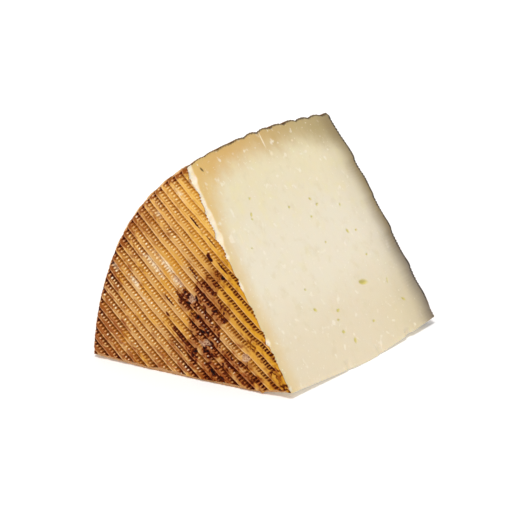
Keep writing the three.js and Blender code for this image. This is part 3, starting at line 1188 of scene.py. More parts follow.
@dataclass(frozen=True)
class PasteFinish:
    """The cut paste: ivory, yellower and darker where it has dried towards the rind, with painted shade
    along the back, and fine grain.
    """

    middle: Colour = linear(240, 229, 205)
    upper: Colour = linear(238, 225, 189)
    lower: Colour = linear(234, 219, 189)
    mottle: Colour = linear(224, 208, 168)
    yellowish: Colour = linear(240, 228, 176)
    low_corner: Colour = linear(226, 210, 170)
    top_left: Colour = linear(222, 178, 104)
    top_right: Colour = linear(188, 167, 117)
    front: Colour = linear(230, 203, 150)
    front_top: Colour = linear(228, 190, 116)
    # The back band's colours are partly painted shade
    back: Colour = linear(150, 130, 92)
    back_low: Colour = linear(130, 116, 98)
    back_line: Colour = linear(44, 36, 30)
    speck: Colour = linear(252, 242, 222)
    broken: Colour = linear(250, 232, 204)
    eye: Colour = linear(212, 198, 104)
    score: Colour = linear(252, 236, 206)
    dirt: Colour = linear(104, 80, 36)
    worn: Colour = linear(196, 146, 92)
    roughness: float = 0.42
    scatter: float = 0.35
    scatter_radius: tuple[float, float, float] = (1.0, 0.75, 0.4)
    scatter_depth: float = 1.6
    specular: float = 0.42
    grain_depth: float = 0.12

    def material(self) -> bpy.types.Material:
        """Builds the nodes: bands of colour by the distance from each rind, then eyes, specks and grain.

        Returns:
            The material.
        """
        tree = Tree("paste")
        side = tree.value("from_side")
        front = tree.value("from_front")
        back = tree.value("from_back")
        out = tree.value("out")
        along = tree.value("along")
        cloud = tree.noise(16.0, 3.0) - 0.5
        fine = tree.noise(2.2, 3.0)

        # The ground: greyer below, yellower above, mottled
        colour = tree.blend(self.lower, self.middle, (out + cloud * 30.0).ramp(10.0, 42.0))
        colour = tree.blend(colour, self.upper, (out + cloud * 26.0).ramp(50.0, 88.0))
        colour = tree.blend(colour, self.mottle, tree.noise(5.0, 4.0, 0.6).ramp(0.5, 0.75) * 0.4)
        yellowish = tree.noise(8.0, 3.0, 0.6).ramp(0.5, 0.75) * out.ramp(10.0, 80.0) * 0.5
        colour = tree.blend(colour, self.yellowish, yellowish)
        corner = along.ramp(55.0, 100.0) * out.ramp(45.0, 5.0) * 0.6
        colour = tree.blend(colour, self.low_corner, corner)

        # The dried bands along the side's rind and the front's, and along the back's a band that is partly
        # dried paste and partly painted shade
        top = tree.blend(self.top_left, self.top_right, along.ramp(20.0, 95.0))
        crust = side - along.ramp(55.0, 100.0) * 3.0 + cloud * 10.0 + (fine - 0.5) * 3.0
        colour = tree.blend(colour, top, crust.ramp(15.0, 0.5) * 0.95)
        edge = tree.blend(self.front, self.front_top, out.ramp(55.0, 85.0))
        reach = front * (1.0 - out.ramp(60.0, 90.0) * 0.45)
        reach = reach + cloud * 5.0 + (fine - 0.5) * 3.0
        colour = tree.blend(colour, edge, reach.ramp(10.5, 0.0) * 0.9)
        right = tree.blend(self.back_low, self.back, out.ramp(20.0, 60.0))
        inside = back + cloud * 5.0
        dried_and_shaded = inside.ramp(12.0, -2.5) * 0.93 + inside.ramp(26.0, 3.0) * 0.2
        colour = tree.blend(colour, right, dried_and_shaded.clamp())

        # Pale specks, the broken strip and the dark line along the rind
        coarse_specks = tree.noise(3.4, 2.0, 0.4).ramp(0.64, 0.76) * 0.6
        fine_specks = tree.noise(1.3, 2.0).ramp(0.66, 0.77) * 0.75
        specks = (coarse_specks + fine_specks).clamp() * back.ramp(4.0, 14.0)
        colour = tree.blend(colour, self.speck, specks)
        broken = tree.value("broken") * (fine.ramp(0.3, 0.6) * 0.35 + 0.65)
        colour = tree.blend(colour, self.broken, broken)
        line = (back + (fine - 0.5) * 0.8).ramp(1.3, 0.4) * out.ramp(4.0, 12.0)
        above = (side + (fine - 0.5) * 0.9).ramp(0.7, 0.15) * along.ramp(8.0, 34.0) * 0.85
        colour = tree.blend(colour, self.back_line, (line + above).clamp() * 0.9)

        marks = {"eye": self.eye, "score": self.score, "dirt": self.dirt, "worn": self.worn}
        for name, tint in marks.items():
            colour = tree.blend(colour, tint, tree.value(name))
        shader = {
            "Base Color": colour,
            "Roughness": fine * 0.18 + self.roughness,
            "Subsurface Weight": self.scatter,
            "Subsurface Radius": self.scatter_radius,
            "Subsurface Scale": self.scatter_depth * MM,
            "Specular IOR Level": self.specular,
        }
        grain = tree.noise(0.7, 4.0, 0.65) * 0.6 + fine * 0.4
        return tree.finish(shader, grain, self.grain_depth)


@dataclass(frozen=True)
class RindFinish:
    """The rind: waxed tan to golden brown, pale on crests and beads as painted highlights, dark in the pits
    of the print from painted shade and dirt, stained and scarred in places.
    """

    name: str
    tan: Colour = linear(211, 163, 99)
    amber: Colour = linear(230, 174, 92)
    brown: Colour = linear(136, 60, 8)
    gold: Colour = linear(238, 186, 88)
    gold_low: Colour = linear(220, 156, 26)
    # Crests, rungs and glints: painted highlights where the print catches the light
    crest: Colour = linear(250, 204, 150)
    crest_brown: Colour = linear(208, 138, 88)
    rung: Colour = linear(254, 218, 154)
    rung_brown: Colour = linear(214, 138, 78)
    glint: Colour = linear(255, 244, 214)
    # Gaps and pits: painted shade in the recesses as well as dirt
    gap: Colour = linear(208, 138, 44)
    gap_brown: Colour = linear(150, 74, 18)
    pit: Colour = linear(66, 12, 0)
    pit_soft: Colour = linear(158, 88, 8)
    mould: Colour = linear(136, 62, 26)
    halo: Colour = linear(104, 36, 8)
    black: Colour = linear(30, 12, 12)
    scar: Colour = linear(224, 184, 148)
    scar_dark: Colour = linear(134, 82, 62)
    wax_and_glint: Colour = linear(254, 232, 194)
    skin: Colour = linear(186, 126, 62)
    edge: Colour = linear(88, 70, 48)
    roughness: float = 0.34
    coat_roughness: float = 0.12
    specular: float = 0.05
    grain_depth: float = 0.16

    def material(self) -> bpy.types.Material:
        """Builds the nodes: ground colour by place, then the print's parts, then the weathering.

        Returns:
            The material.
        """
        tree = Tree(self.name)
        fine = tree.noise(1.3, 4.0, 0.6)
        grit = tree.noise(0.7, 3.0, 0.7)
        dark = tree.value("dark")
        depth = tree.value("pit")
        bead = tree.value("bead")
        gold = tree.value("gold")

        # The ground: tan to amber, gold near the cut, brown in blotches, and mould
        blotch = tree.noise(9.0, 4.0, 0.55)
        amber = tree.value("amber")
        mould = tree.value("mould")
        shade = (tree.value("shade") + (blotch - 0.5) * 0.6 + (grit - 0.5) * 0.9).clamp()
        colour = tree.blend(self.tan, self.amber, (amber + blotch.ramp(0.45, 0.7) * 0.35).clamp())
        colour = tree.blend(colour, tree.blend(self.gold_low, self.gold, amber), gold)
        colour = tree.blend(colour, self.brown, shade * 0.9)
        colour = tree.blend(colour, self.mould, mould * (fine * 0.7 + 0.2))

        # The print: crests and beads painted pale as highlights, and the gaps between the rungs and the pits
        # painted dark, as shade in the recesses and as dirt
        brown = (shade * 0.8 + mould * 0.9).clamp()
        crest = tree.blend(self.crest, self.crest_brown, brown)
        ridge = tree.value("crest") * (1.0 - gold * 0.4)
        colour = tree.blend(colour, crest, ridge * (fine.ramp(0.25, 0.7) * 0.45 + 0.5))
        rung = tree.blend(self.rung, self.rung_brown, brown)
        colour = tree.blend(colour, rung, bead.ramp(0.0, 0.5))
        gap = tree.blend(self.gap, self.gap_brown, (dark * 1.4 - 0.2).clamp())
        colour = tree.blend(colour, gap, depth.ramp(0.0, 0.3) * 0.8)
        hole = tree.blend(self.pit_soft, self.pit, dark)
        recess_darkening = depth.ramp(0.3, 0.82) * (dark * 0.6 + 0.45) * (grit * 0.6 + 0.75)
        colour = tree.blend(colour, hole, recess_darkening.clamp())
        # Painted glints on the beads' tops
        glint = bead.ramp(0.55, 1.0) * (1.0 - brown * 0.35) * 0.9
        colour = tree.blend(colour, self.glint, glint)

        # The weathering: scars, the broken skin at the edges, black specks with a halo, and wax with its
        # painted glints
        scar = tree.blend(self.scar_dark, self.scar, grit.ramp(0.35, 0.6))
        colour = tree.blend(colour, scar, tree.value("scar") * (fine * 0.6 + 0.5).clamp())
        colour = tree.blend(colour, self.skin, tree.value("skin") * 0.8)
        black = (tree.value("black") * (grit * 0.7 + 0.65)).clamp()
        colour = tree.blend(colour, self.halo, black.ramp(0.0, 0.5))
        colour = tree.blend(colour, self.black, black.ramp(0.45, 0.95))
        wax_and_glint = tree.value("wax_and_glint")
        colour = tree.blend(colour, self.wax_and_glint, (wax_and_glint * fine.ramp(0.3, 0.6)).clamp())
        colour = tree.blend(colour, self.edge, tree.value("edge") * (grit * 0.5 + 0.5))
        shader = {
            "Base Color": colour,
            "Roughness": (fine * 0.2 + depth * 0.3 + self.roughness).clamp(),
            "Coat Weight": (bead.ramp(0.3, 1.0) * 0.7 + wax_and_glint * 0.5).clamp(),
            "Coat Roughness": self.coat_roughness,
            "Specular IOR Level": self.specular,
        }
        return tree.finish(shader, grit * 0.6 + fine * 0.4, self.grain_depth)


@dataclass(frozen=True)
class Layers:
    """How deep the layers of the rind lie under its printed surface, in mm."""

    skin: float = 0.3
    ring: float = 0.5
    inside: float = 0.9
    hidden: float = 1.2
    inset: float = 0.12


@dataclass(frozen=True)
class FaceRind:
    """The rind of one flat face: a printed sheet on the dome, closed by a skirt and a plain inner sheet."""

    end: End
    rows: Rows
    seed: int
    wheel: Wheel
    opened: OpenCut
    lower: LowerCut
    cells: int = 300
    coarse: int = 10
    rounds: int = 6
    swell_peaks: tuple[float, ...] = (11.9, 25.0, 43.5, 64.0, 78.0)
    swell_reach: float = 4.5
    swell_height: float = 0.8
    swell_level: float = 0.45
    swell_fade: float = 11.0
    layers: Layers = Layers()

    @property
    def apex(self) -> Apex:
        """The edge where the two cuts meet."""
        return Apex(self.opened, self.lower)

    @property
    def press(self) -> Print:
        """The print on this face."""
        return Print(self.rows, self.seed, self.wheel)

    @property
    def outward(self) -> float:
        """The sign of y that leads out of this face."""
        return -1.0 if self.end is End.FRONT else 1.0

    def depth_to_y(self, fall: Array) -> Array:
        """The y of a distance into the wheel from this face's centre."""
        return fall if self.end is End.FRONT else self.wheel.thickness - fall

    def rim_height(self, angle: Array) -> Array:
        """The print's height on the line where this face's rim meets the side: half of the print there."""
        height = self.press.relief(*from_polar(self.wheel.rim_radius(angle), angle))["height"]
        return 0.1 + 0.5 * height

    def swells(self, x: Array, z: Array) -> Array:
        """How far the back face swells out along the open cut: soft humps that die away from it.

        Args:
            x: Places across the wheel.
            z: Places up it.

        Returns:
            Heights in mm, which are 0 all over the front face.
        """
        if self.end is End.FRONT:
            return np.zeros(np.shape(x))
        radius, angle = polar(x, z)
        away = self.wheel.from_open(radius, angle)
        humps = sum(np.exp(-(((radius - peak) / self.swell_reach) ** 2)) for peak in self.swell_peaks)
        return self.swell_height * (humps - self.swell_level) * np.exp(-((away / self.swell_fade) ** 2))

    def surface(self, x: Array, z: Array, inwards: float = 0.0, bare: bool = False) -> dict[str, Array]:
        """The face's places: the dome and rim, pushed out by the print along the way they lean.

        Args:
            x: Places across the wheel.
            z: Places up it.
            inwards: How far under the printed surface.
            bare: True for the surface without the print.

        Returns:
            x, y and z in mm, and the print's parts.
        """
        radius, angle = polar(x, z)
        sine = self.wheel.lean(radius, angle)
        level = self.depth_to_y(self.wheel.fall(self.end, radius, angle))
        parts = self.press.relief(x, z)
        edge = ramp(0.0, RIM_BLEND, self.wheel.rim_radius(angle) - radius)
        height = mix(self.rim_height(angle), parts["height"] + self.swells(x, z), edge)
        push = (np.zeros(np.shape(x)) if bare else height) - inwards
        grow = 1.0 + push * sine / np.maximum(radius, 1.0)
        y = level + self.outward * push * np.sqrt(1.0 - sine**2)
        return {**parts, "x": x * grow, "y": y, "z": z * grow}

    def edge_on(self, cut: Cut, count: int, inset: float) -> Array:
        """The line where the face meets a cut, from the apex to the rim.

        Args:
            cut: The cut.
            count: Number of places.
            inset: How far inside the cut the line runs.

        Returns:
            x and z, of shape (count, 2), before the print's push.
        """
        opened, lower = self.apex.outs(np.full(1, self.depth_to_y(0.0)), inset)
        start = float(opened[0] if cut is self.opened else lower[0])
        share = np.linspace(0.0, 1.0, count)
        turn = np.full(count, cut.level)
        out = start + (self.wheel.face_radius - start) * share
        for _ in range(self.rounds):
            level = self.depth_to_y(self.wheel.fall(self.end, out, turn))
            height = cut.height(out, level) - inset
            x, z = cut.place(out, height)
            _, angle = polar(x[-1:], z[-1:])
            last = math.sqrt(float(self.wheel.rim_radius(angle)[0]) ** 2 - float(height[-1]) ** 2)
            out = start + (last - start) * share
        return np.stack(cut.place(out, height), axis=-1)

    def arc(self, start: Array, stop: Array, count: int) -> Array:
        """The rim's 45 degree line between the angles of two places.

        Args:
            start: x and z of the first place.
            stop: x and z of the last one.
            count: Number of places on the line.

        Returns:
            x and z, of shape (count, 2).
        """
        _, angle = polar(np.array([start[0], stop[0]]), np.array([start[1], stop[1]]))
        turn = np.linspace(angle[0], angle[1], count)
        return np.stack(from_polar(self.wheel.rim_radius(turn), turn), axis=-1)

    def grid(self) -> Array:
        """The printed sheet's grid: a patch between the two cuts and the two halves of the rim.

        Returns:
            x and z, of shape (cells + 1, cells + 1, 2).
        """
        count = self.cells + 1
        upper = self.edge_on(self.opened, count, self.layers.inset)
        under = self.edge_on(self.lower, count, self.layers.inset)
        whole = self.arc(upper[-1], under[-1], 2 * count - 1)
        return coons(upper, whole[count - 1 :][::-1], under, whole[:count])

    def front_weather(self, x: Array, z: Array) -> dict[str, Array]:
        """The front face's weathering before its streaks: darker by the rim and the foot, golden by the cut.

        Args:
            x: Places across the wheel.
            z: Places up it.

        Returns:
            The marks, edge, shade, gold, amber and dark.
        """
        p, q = self.press.coordinates(x, z)
        slow = Noise(self.seed + 5)
        radius, angle = polar(x, z)
        wander = 4.0 * slow.at(p, q, 11.0)
        inside = self.wheel.rim_radius(angle) - radius
        away = self.wheel.from_open(radius, angle)

        # Where on the face a place is: by the foot, the rim, the tip's side or the upper part
        low = 1.0 - ramp(2.0, 34.0, z + wander)
        left = (1.0 - ramp(1.0, 26.0, inside + wander)) * (1.0 - ramp(48.0, 76.0, z))
        right = (1.0 - ramp(6.0, 24.0, away + wander)) * (1.0 - ramp(40.0, 58.0, z))
        corner = left * (1.0 - ramp(8.0, 34.0, z + wander))
        near_rim = 1.0 - ramp(2.0, 12.0, inside + 0.5 * wander)
        near_rim = near_rim * (1.0 - 0.5 * ramp(56.0, 72.0, z))
        pale_foot = ramp(-76.0, -69.0, x) * (1.0 - ramp(-59.0, -52.0, x))
        near_foot = (1.0 - ramp(1.0, 9.0, z + 0.5 * wander)) * (1.0 - 0.85 * pale_foot)
        rim = 1.0 - ramp(0.6, 2.2, inside)
        amber = ramp(38.0, 66.0, z + 2.0 * wander)

        # How brown the ground is, how golden, and how dark its pits are
        marks = Weathering().at(x, z)
        calm = ramp(0.4, 0.9, slow.cloud(p, q, 17.0))
        shade = 0.46 * left + 0.38 * low * (1.0 - 0.7 * right) + 0.35 * calm - 0.2
        shade = shade + 0.48 * np.maximum(near_rim, near_foot) + 0.52 * corner
        yellow = 0.6 * ramp(0.1, 0.7, slow.at(p + 90.0, q, 5.5)) * (1.0 - amber)
        gold = 0.9 * (1.0 - ramp(3.0, 19.0, away + 4.0 * slow.at(p, q, 7.0)))
        places = (corner, 0.7 * left, 0.75 * right, marks["mould"], near_foot, 0.8 * near_rim, 0.55 * low)
        dark = 0.12 + 0.9 * np.maximum.reduce(places) + 0.25 * Noise(self.seed + 6).at(p, q, 6.0)
        return {
            **marks,
            "edge": np.zeros(np.shape(x)),
            "shade": shade + 0.8 * rim,
            "gold": np.maximum(gold, yellow),
            "amber": amber,
            "dark": dark + 0.6 * rim,
        }

    def back_weather(self, x: Array, z: Array) -> dict[str, Array]:
        """The back face's weathering before its streaks: soft patches, and a dark edge at the open cut.

        Args:
            x: Places across the wheel.
            z: Places up it.

        Returns:
            The marks, edge, shade, gold, amber and dark.
        """
        p, q = self.press.coordinates(x, z)
        slow = Noise(self.seed + 5)
        quick = Noise(self.seed + 6)
        calm = slow.cloud(p, q, 17.0)
        none = np.zeros(np.shape(x))
        return {
            "mould": 0.5 * ramp(0.66, 0.85, calm),
            "black": none,
            "scar": none,
            "wax_and_glint": 0.14 * ramp(0.3, 0.7, slow.at(p, q + 30.0, 7.0)),
            "edge": 1.0 - ramp(0.3, 1.6, self.wheel.from_open(*polar(x, z))),
            "shade": 0.3 + 0.6 * ramp(0.4, 0.85, calm),
            "gold": 0.5 * ramp(-0.1, 0.6, slow.at(p + 60.0, q, 15.0)),
            "amber": ramp(0.3, 0.7, quick.cloud(p + 30.0, q, 18.0, 1)),
            "dark": 0.5 + 0.4 * quick.at(p, q, 8.0),
        }

    def weather(self, x: Array, z: Array) -> dict[str, Array]:
        """The weathering of this face, with streaks and fibres along its rows.

        Args:
            x: Places across the wheel.
            z: Places up it.

        Returns:
            mould, black, scar, wax with its painted glints, edge, shade, gold, amber and dark, from 0 to 1.
        """
        p, q = self.press.coordinates(x, z)
        quick = Noise(self.seed + 6)
        values = self.front_weather(x, z) if self.end is End.FRONT else self.back_weather(x, z)
        streak = quick.layers(p * 0.35, q, 1.2, 3) + 0.6 * quick.layers(p + 70.0, q, 0.9, 2)
        fibre = quick.layers(p * 0.2, q * 1.4, 0.9, 2)
        shade = values["shade"]
        values["shade"] = np.clip(shade + (0.8 + 0.9 * shade) * streak + 0.3 * fibre, 0.0, 1.0)
        values["wax_and_glint"] = np.clip(values["wax_and_glint"] * np.clip(1.1 + 1.4 * streak, 0.35, 1.8), 0.0, 1.0)
        values["dark"] = np.clip(values["dark"], 0.0, 1.0)
        return values

    def pit_shade_and_dirt(self, parts: dict[str, Array], values: dict[str, Array], x: Array, z: Array) -> Array:
        """The pits' painted shade and their dirt, and the dirt under mould in the gaps between rungs too, so
        the rungs stay paler.

        Args:
            parts: The print's parts.
            values: The weathering.
            x: Places across the wheel.
            z: Places up it.

        Returns:
            How dark the places are, from the painted shade and the dirt, from 0 to 1.
        """
        speckled = Noise(self.seed + 8).cloud(x, z, 1.1)
        recess_darkening = parts["gap"] * mix(0.45, 1.1, parts["cell"])
        spread = np.maximum(recess_darkening, 0.75 * ramp(0.56, 0.72, speckled) * (1.0 - 0.6 * parts["crest"]))
        deep = parts["pit"] * (0.82 + values["dark"]) * (1.0 - 0.4 * values["amber"])
        return np.clip(np.maximum(deep, values["mould"] * spread), 0.0, 1.0)

    def build(self) -> bpy.types.Object:
        """Makes the face's rind as one closed shell.

        Returns:
            The new object.
        """
        flat = self.grid()
        x = flat[..., 0]
        z = flat[..., 1]
        outer = self.surface(x, z)
        values = self.weather(x, z)
        values["crest"] = outer["crest"]
        values["bead"] = outer["bead"] * (1.0 - 0.6 * values["gold"])
        values["pit"] = self.pit_shade_and_dirt(outer, values, x, z)
        values["gold"] = np.maximum(values["gold"], 0.8 * outer["torn"])
        # The wax shows most on the raised crests and beads, as painted glints there
        raised = 0.5 + 0.5 * np.maximum(values["crest"], np.clip(1.6 * values["bead"], 0.0, 1.0))
        values["wax_and_glint"] = np.clip(1.7 * values["wax_and_glint"] * raised, 0.0, 1.0)
        edge = perimeter(flat)
        ring = self.surface(edge[:, 0], edge[:, 1], self.layers.ring)
        few = flat[:: self.coarse, :: self.coarse]
        inner = self.surface(few[..., 0], few[..., 1], self.layers.inside, bare=True)
        grids = [self.wheel.placed(found) for found in (outer, ring, inner)]
        return shell(f"rind_{self.end.value}", *grids, values)


def shell(name: str, outer: Array, ring: Array, inner: Array, values: dict[str, Array]) -> bpy.types.Object:
    """Closes a fine outer sheet with a fine ring round it and a coarse inner sheet.

    Args:
        name: The piece's name.
        outer: The outer sheet's grid of places.
        ring: Places of the skirt's lower line, one under each place of the outer sheet's perimeter.
        inner: The inner sheet's grid of places, coarser by a whole factor.
        values: Values at the outer sheet's places.

    Returns:
        The new object.
    """
    mesh = Mesh()
    top = mesh.add(outer, skin=0.0, **values)
    around = {key: perimeter(value) for key, value in values.items()}
    skirt = mesh.add(ring, skin=1.0, **around)
    below = mesh.add(inner, skin=1.0, **{key: 0.0 for key in values})
    mesh.sheet(top)
    mesh.sheet(below, turned=True)
    rim = perimeter(top)
    mesh.faces.append(np.stack([np.roll(rim, -1), rim, skirt, np.roll(skirt, -1)], axis=-1))
    # Each edge of the coarse inner sheet is joined by one face to the fine places of the skirt above it
    under = perimeter(below)
    factor = len(rim) // len(under)
    fine = (np.arange(len(under))[:, None] * factor + np.arange(factor, -1, -1)[None, :]) % len(rim)
    strip = np.concatenate([skirt[fine], under[:, None], np.roll(under, -1)[:, None]], axis=1)
    mesh.faces.append(strip)
    return mesh.build(name, RIND_CREASE)


@dataclass(frozen=True)
class SideRind:
    """The rind of the barrelled side, between the two rims and the two cuts."""

    front: FaceRind
    back: FaceRind
    wheel: Wheel
    opened: OpenCut
    lower: LowerCut
    around: int = 300
    across: int = 300
    coarse: int = 10
    seed: int = 91
    rounds: int = 5
    layers: Layers = Layers()

    def surface(
        self, share: Array, angle: Array, inwards: float = 0.0, bare: bool = False
    ) -> dict[str, Array]:
        """The side's places: the barrel and the rounded rims, pushed out by the print of the band.

        Args:
            share: Shares of the way from the front rim to the back one.
            angle: Angles round the wheel.
            inwards: How far under the printed surface.
            bare: True for the surface without the print.

        Returns:
            x, y and z in mm, the radius, and the print's parts.
        """
        wheel = self.wheel
        rim = wheel.rim_radius(angle)
        start = wheel.fall(End.FRONT, rim, angle)
        stop = wheel.thickness - wheel.fall(End.BACK, rim, angle)
        along = mix(start, stop, share)
        near = np.clip(1.0 - (along - start + wheel.rim_in) / wheel.rim_round, 0.0, 1.0)
        far = np.clip(1.0 - (stop - along + wheel.rim_in) / wheel.rim_round, 0.0, 1.0)
        sine = near - far
        radius = wheel.barrel(share, angle) - wheel.rim_drop(sine)
        parts = Band(wheel).relief(angle * wheel.face_radius, along)
        height = mix(self.front.rim_height(angle), parts["height"], ramp(0.0, RIM_BLEND, along - start))
        height = mix(self.back.rim_height(angle), height, ramp(0.0, RIM_BLEND, stop - along))
        push = (np.zeros(np.shape(along)) if bare else height) - inwards
        radius = radius + push * np.sqrt(1.0 - sine**2)
        x, z = from_polar(radius, angle)
        return {**parts, "x": x, "y": along - push * sine, "z": z, "radius": radius}

    def limit(self, cut: Cut, share: Array, inset: float, inwards: float = 0.0) -> Array:
        """The angle at which the side meets a cut, settled in a few steps.

        Args:
            cut: The cut.
            share: Shares of the way from the front rim to the back one.
            inset: How far inside the cut.
            inwards: How far under the printed surface.

        Returns:
            Angles round the wheel.
        """
        angle = np.full(np.shape(share), cut.level)
        for _ in range(self.rounds):
            found = self.surface(share, angle, inwards)
            out = cut.reach(found["radius"], found["y"], inset)
            height = cut.height(out, found["y"]) - inset
            angle = cut.level + cut.side * np.arctan2(height, out)
        return angle

    def weather(self, arc: Array, along: Array, from_open: Array) -> dict[str, Array]:
        """The weathering of the side: patches of mould, wax and colour.

        Args:
            arc: Places round the wheel, in mm from the level.
            along: Places along y.
            from_open: Their distances round the wheel from the open cut.

        Returns:
            Its values, from 0 to 1.
        """
        slow = Noise(self.seed)
        calm = slow.cloud(arc, along, 19.0)
        none = np.zeros(arc.shape)
        return {
            "mould": 0.6 * ramp(0.62, 0.82, calm),
            "black": none,
            "edge": 1.0 - ramp(0.4, 2.4, from_open),
            "scar": none,
            "wax_and_glint": 0.12 * ramp(0.3, 0.7, slow.at(arc + 30.0, along, 8.0)),
            "shade": np.clip(0.2 + 0.6 * ramp(0.35, 0.8, calm), 0.0, 1.0),
            "gold": 0.4 * ramp(0.0, 0.6, slow.at(arc, along + 60.0, 14.0)),
            "amber": slow.cloud(arc + 90.0, along, 16.0, 1),
            "dark": np.clip(0.5 + 0.4 * slow.at(arc, along, 9.0), 0.0, 1.0),
        }

    def build(self) -> bpy.types.Object:
        """Makes the side's rind as one closed shell.

        Returns:
            The new object.
        """
        share = np.linspace(0.0, 1.0, self.across + 1)
        low = self.limit(self.lower, share, self.layers.inset)
        high = self.limit(self.opened, share, self.layers.inset)
        turn = np.linspace(0.0, 1.0, self.around + 1)
        angle = mix(low[:, None], high[:, None], turn[None, :])
        shares = np.broadcast_to(share[:, None], angle.shape)
        outer = self.surface(shares, angle)
        values = {name: outer[name] for name in ("crest", "bead", "pit")}
        from_open = (high[:, None] - angle) * self.wheel.face_radius
        values.update(self.weather(angle * self.wheel.face_radius, outer["y"], from_open))
        ring = self.surface(perimeter(shares), perimeter(angle), self.layers.ring)
        few = (slice(None, None, self.coarse), slice(None, None, self.coarse))
        inner = self.surface(shares[few], angle[few], self.layers.inside, bare=True)
        grids = [self.wheel.placed(found) for found in (outer, ring, inner)]
        return shell("rind_side", *grids, values)


@dataclass(frozen=True)
class Eye(Mark):
    """A small hole in the open cut. Its x is the place along y, its z the out, its strength the depth."""

    strength: float = 0.5


@dataclass(frozen=True)
class Sheet:
    """A grid of places on the paste in mm, from front to back along its second axis, with their values."""

    x: Array
    y: Array
    z: Array
    values: dict[str, Array | float]


@dataclass(frozen=True)
class Paste:
    """The cheese itself: the two cuts with their edges at the rind, and hidden sides under it."""

    wheel: Wheel
    opened: OpenCut
    lower: LowerCut
    front: FaceRind
    back: FaceRind
    side: SideRind
    stations: int = 300
    even_share: float = 0.55
    crowding: float = 1.8
    columns: int = 236
    under_columns: int = 60
    hidden_columns: int = 24
    seed: int = 51
    tooth: float = 0.05
    eye_tint: float = 0.9
    crease: float = math.radians(50.0)
    layers: Layers = Layers()
    eyes: tuple[Eye, ...] = (
        Eye(72.1, 26.5, 3.3, 1.3, -12.0, 0.9),
        Eye(35.1, 24.7, 1.2, 0.8, -35.0),
        Eye(34.9, 33.6, 0.7, 0.5, 0.0),
        Eye(48.5, 20.6, 1.4, 0.7, 10.0),
        Eye(46.0, 17.2, 0.9, 0.5, 0.0),
        Eye(45.8, 12.0, 1.1, 0.8, -10.0),
        Eye(50.6, 6.9, 1.3, 0.9, 60.0),
        Eye(67.3, 10.5, 0.9, 0.6, 0.0),
        Eye(92.8, 13.1, 1.5, 0.6, -35.0),
        Eye(88.1, 22.9, 1.4, 0.4, 60.0, 0.4),
        Eye(82.8, 36.1, 0.8, 0.5, 20.0),
        Eye(77.4, 47.9, 1.2, 0.8, -60.0),
        Eye(83.1, 46.9, 0.8, 0.5, 0.0),
        Eye(60.6, 47.4, 0.7, 0.5, 30.0),
        Eye(59.2, 59.0, 0.8, 0.5, 0.0),
        Eye(80.3, 59.0, 0.8, 0.5, 50.0),
        Eye(66.0, 62.8, 1.2, 0.5, 15.0),
        Eye(63.3, 65.9, 0.9, 0.6, -40.0),
        Eye(48.5, 66.0, 0.8, 0.5, 10.0),
        Eye(24.8, 69.0, 1.1, 0.6, 55.0),
        Eye(24.0, 67.2, 0.7, 0.4, 0.0),
        Eye(28.1, 75.1, 0.8, 0.5, 20.0),
        Eye(16.2, 56.9, 0.6, 0.4, 0.0),
    )
    scores: tuple[Mark, ...] = (
        Mark(52.0, 94.8, 4.8, 0.5, 88.0, 1.0),
        Mark(53.5, 88.6, 1.6, 1.2, 40.0, 0.7),
        Mark(70.0, 90.5, 0.9, 0.7, 20.0, 0.6),
        Mark(60.0, 80.0, 1.2, 0.5, 70.0, 0.45),
        Mark(13.0, 62.0, 3.5, 0.35, 84.0, 0.45),
        Mark(15.4, 56.0, 3.0, 0.3, 80.0, 0.4),
        Mark(52.0, 60.0, 2.0, 0.5, 40.0, 0.35),
    )
    dirt: tuple[Mark, ...] = (Mark(8.9, 92.4, 1.5, 0.7, -58.0, 1.0),)

    @property
    def steps(self) -> Array:
        """Shares of the way from front to back at which the stations stand, closer together in front."""
        even = np.linspace(0.0, 1.0, self.stations + 1)
        return self.even_share * even + (1.0 - self.even_share) * even**self.crowding

    def face_edge(self, face: FaceRind, cut: Cut, count: int) -> Array:
        """Where the paste's front or back edge runs on a cut: just under the printed rind.

        Args:
            face: The rind of that flat face.
            cut: The cut.
            count: Number of places.

        Returns:
            out and y, of shape (count, 2).
        """
        flat = face.edge_on(cut, count, 0.0)
        return cut.line(face.surface(flat[:, 0], flat[:, 1], self.layers.skin))

    def side_edge(self, cut: Cut) -> Array:
        """Where the paste's edge under the side's rind runs on a cut, as out and y from front to back."""
        angle = self.side.limit(cut, self.steps, 0.0, self.layers.skin)
        return cut.line(self.side.surface(self.steps, angle, self.layers.skin))

    def cut_grid(self, cut: Cut, count: int) -> Array:
        """A cut's grid, from the apex to the side and from front to back.

        Args:
            cut: The cut.
            count: Number of places from the apex to the side.

        Returns:
            out and y of its places, of shape (count, stations + 1, 2).
        """
        near = self.face_edge(self.front, cut, count)
        far = self.face_edge(self.back, cut, count)
        rim = self.side_edge(cut)
        rim[0] = near[-1]
        rim[-1] = far[-1]
        first = self.face_edge(self.front, self.opened, 3)[0, 1]
        last = self.face_edge(self.back, self.opened, 3)[0, 1]
        along = mix(first, last, self.steps)
        opened, lower = Apex(self.opened, self.lower).outs(along)
        edge = np.stack([opened if cut is self.opened else lower, along], axis=-1)
        near[0] = edge[0]
        far[0] = edge[-1]
        return coons(near, far, edge, rim, self.steps)

    def bands(self, grid: Array, side: Array) -> dict[str, Array]:
        """Where places of a cut are and how far from the rinds, for the paste's bands of colour.

        Args:
            grid: out and y of the cut's places, from front to back along the second axis.
            side: The out of the line under the side's rind.

        Returns:
            Distances from the front, the back and the side, and out and along, in mm.
        """
        out = grid[..., 0]
        along = grid[..., 1]
        far = {"from_front": along - grid[:, :1, 1], "from_back": grid[:, -1:, 1] - along}
        return {**far, "from_side": side - out, "out": out, "along": along}

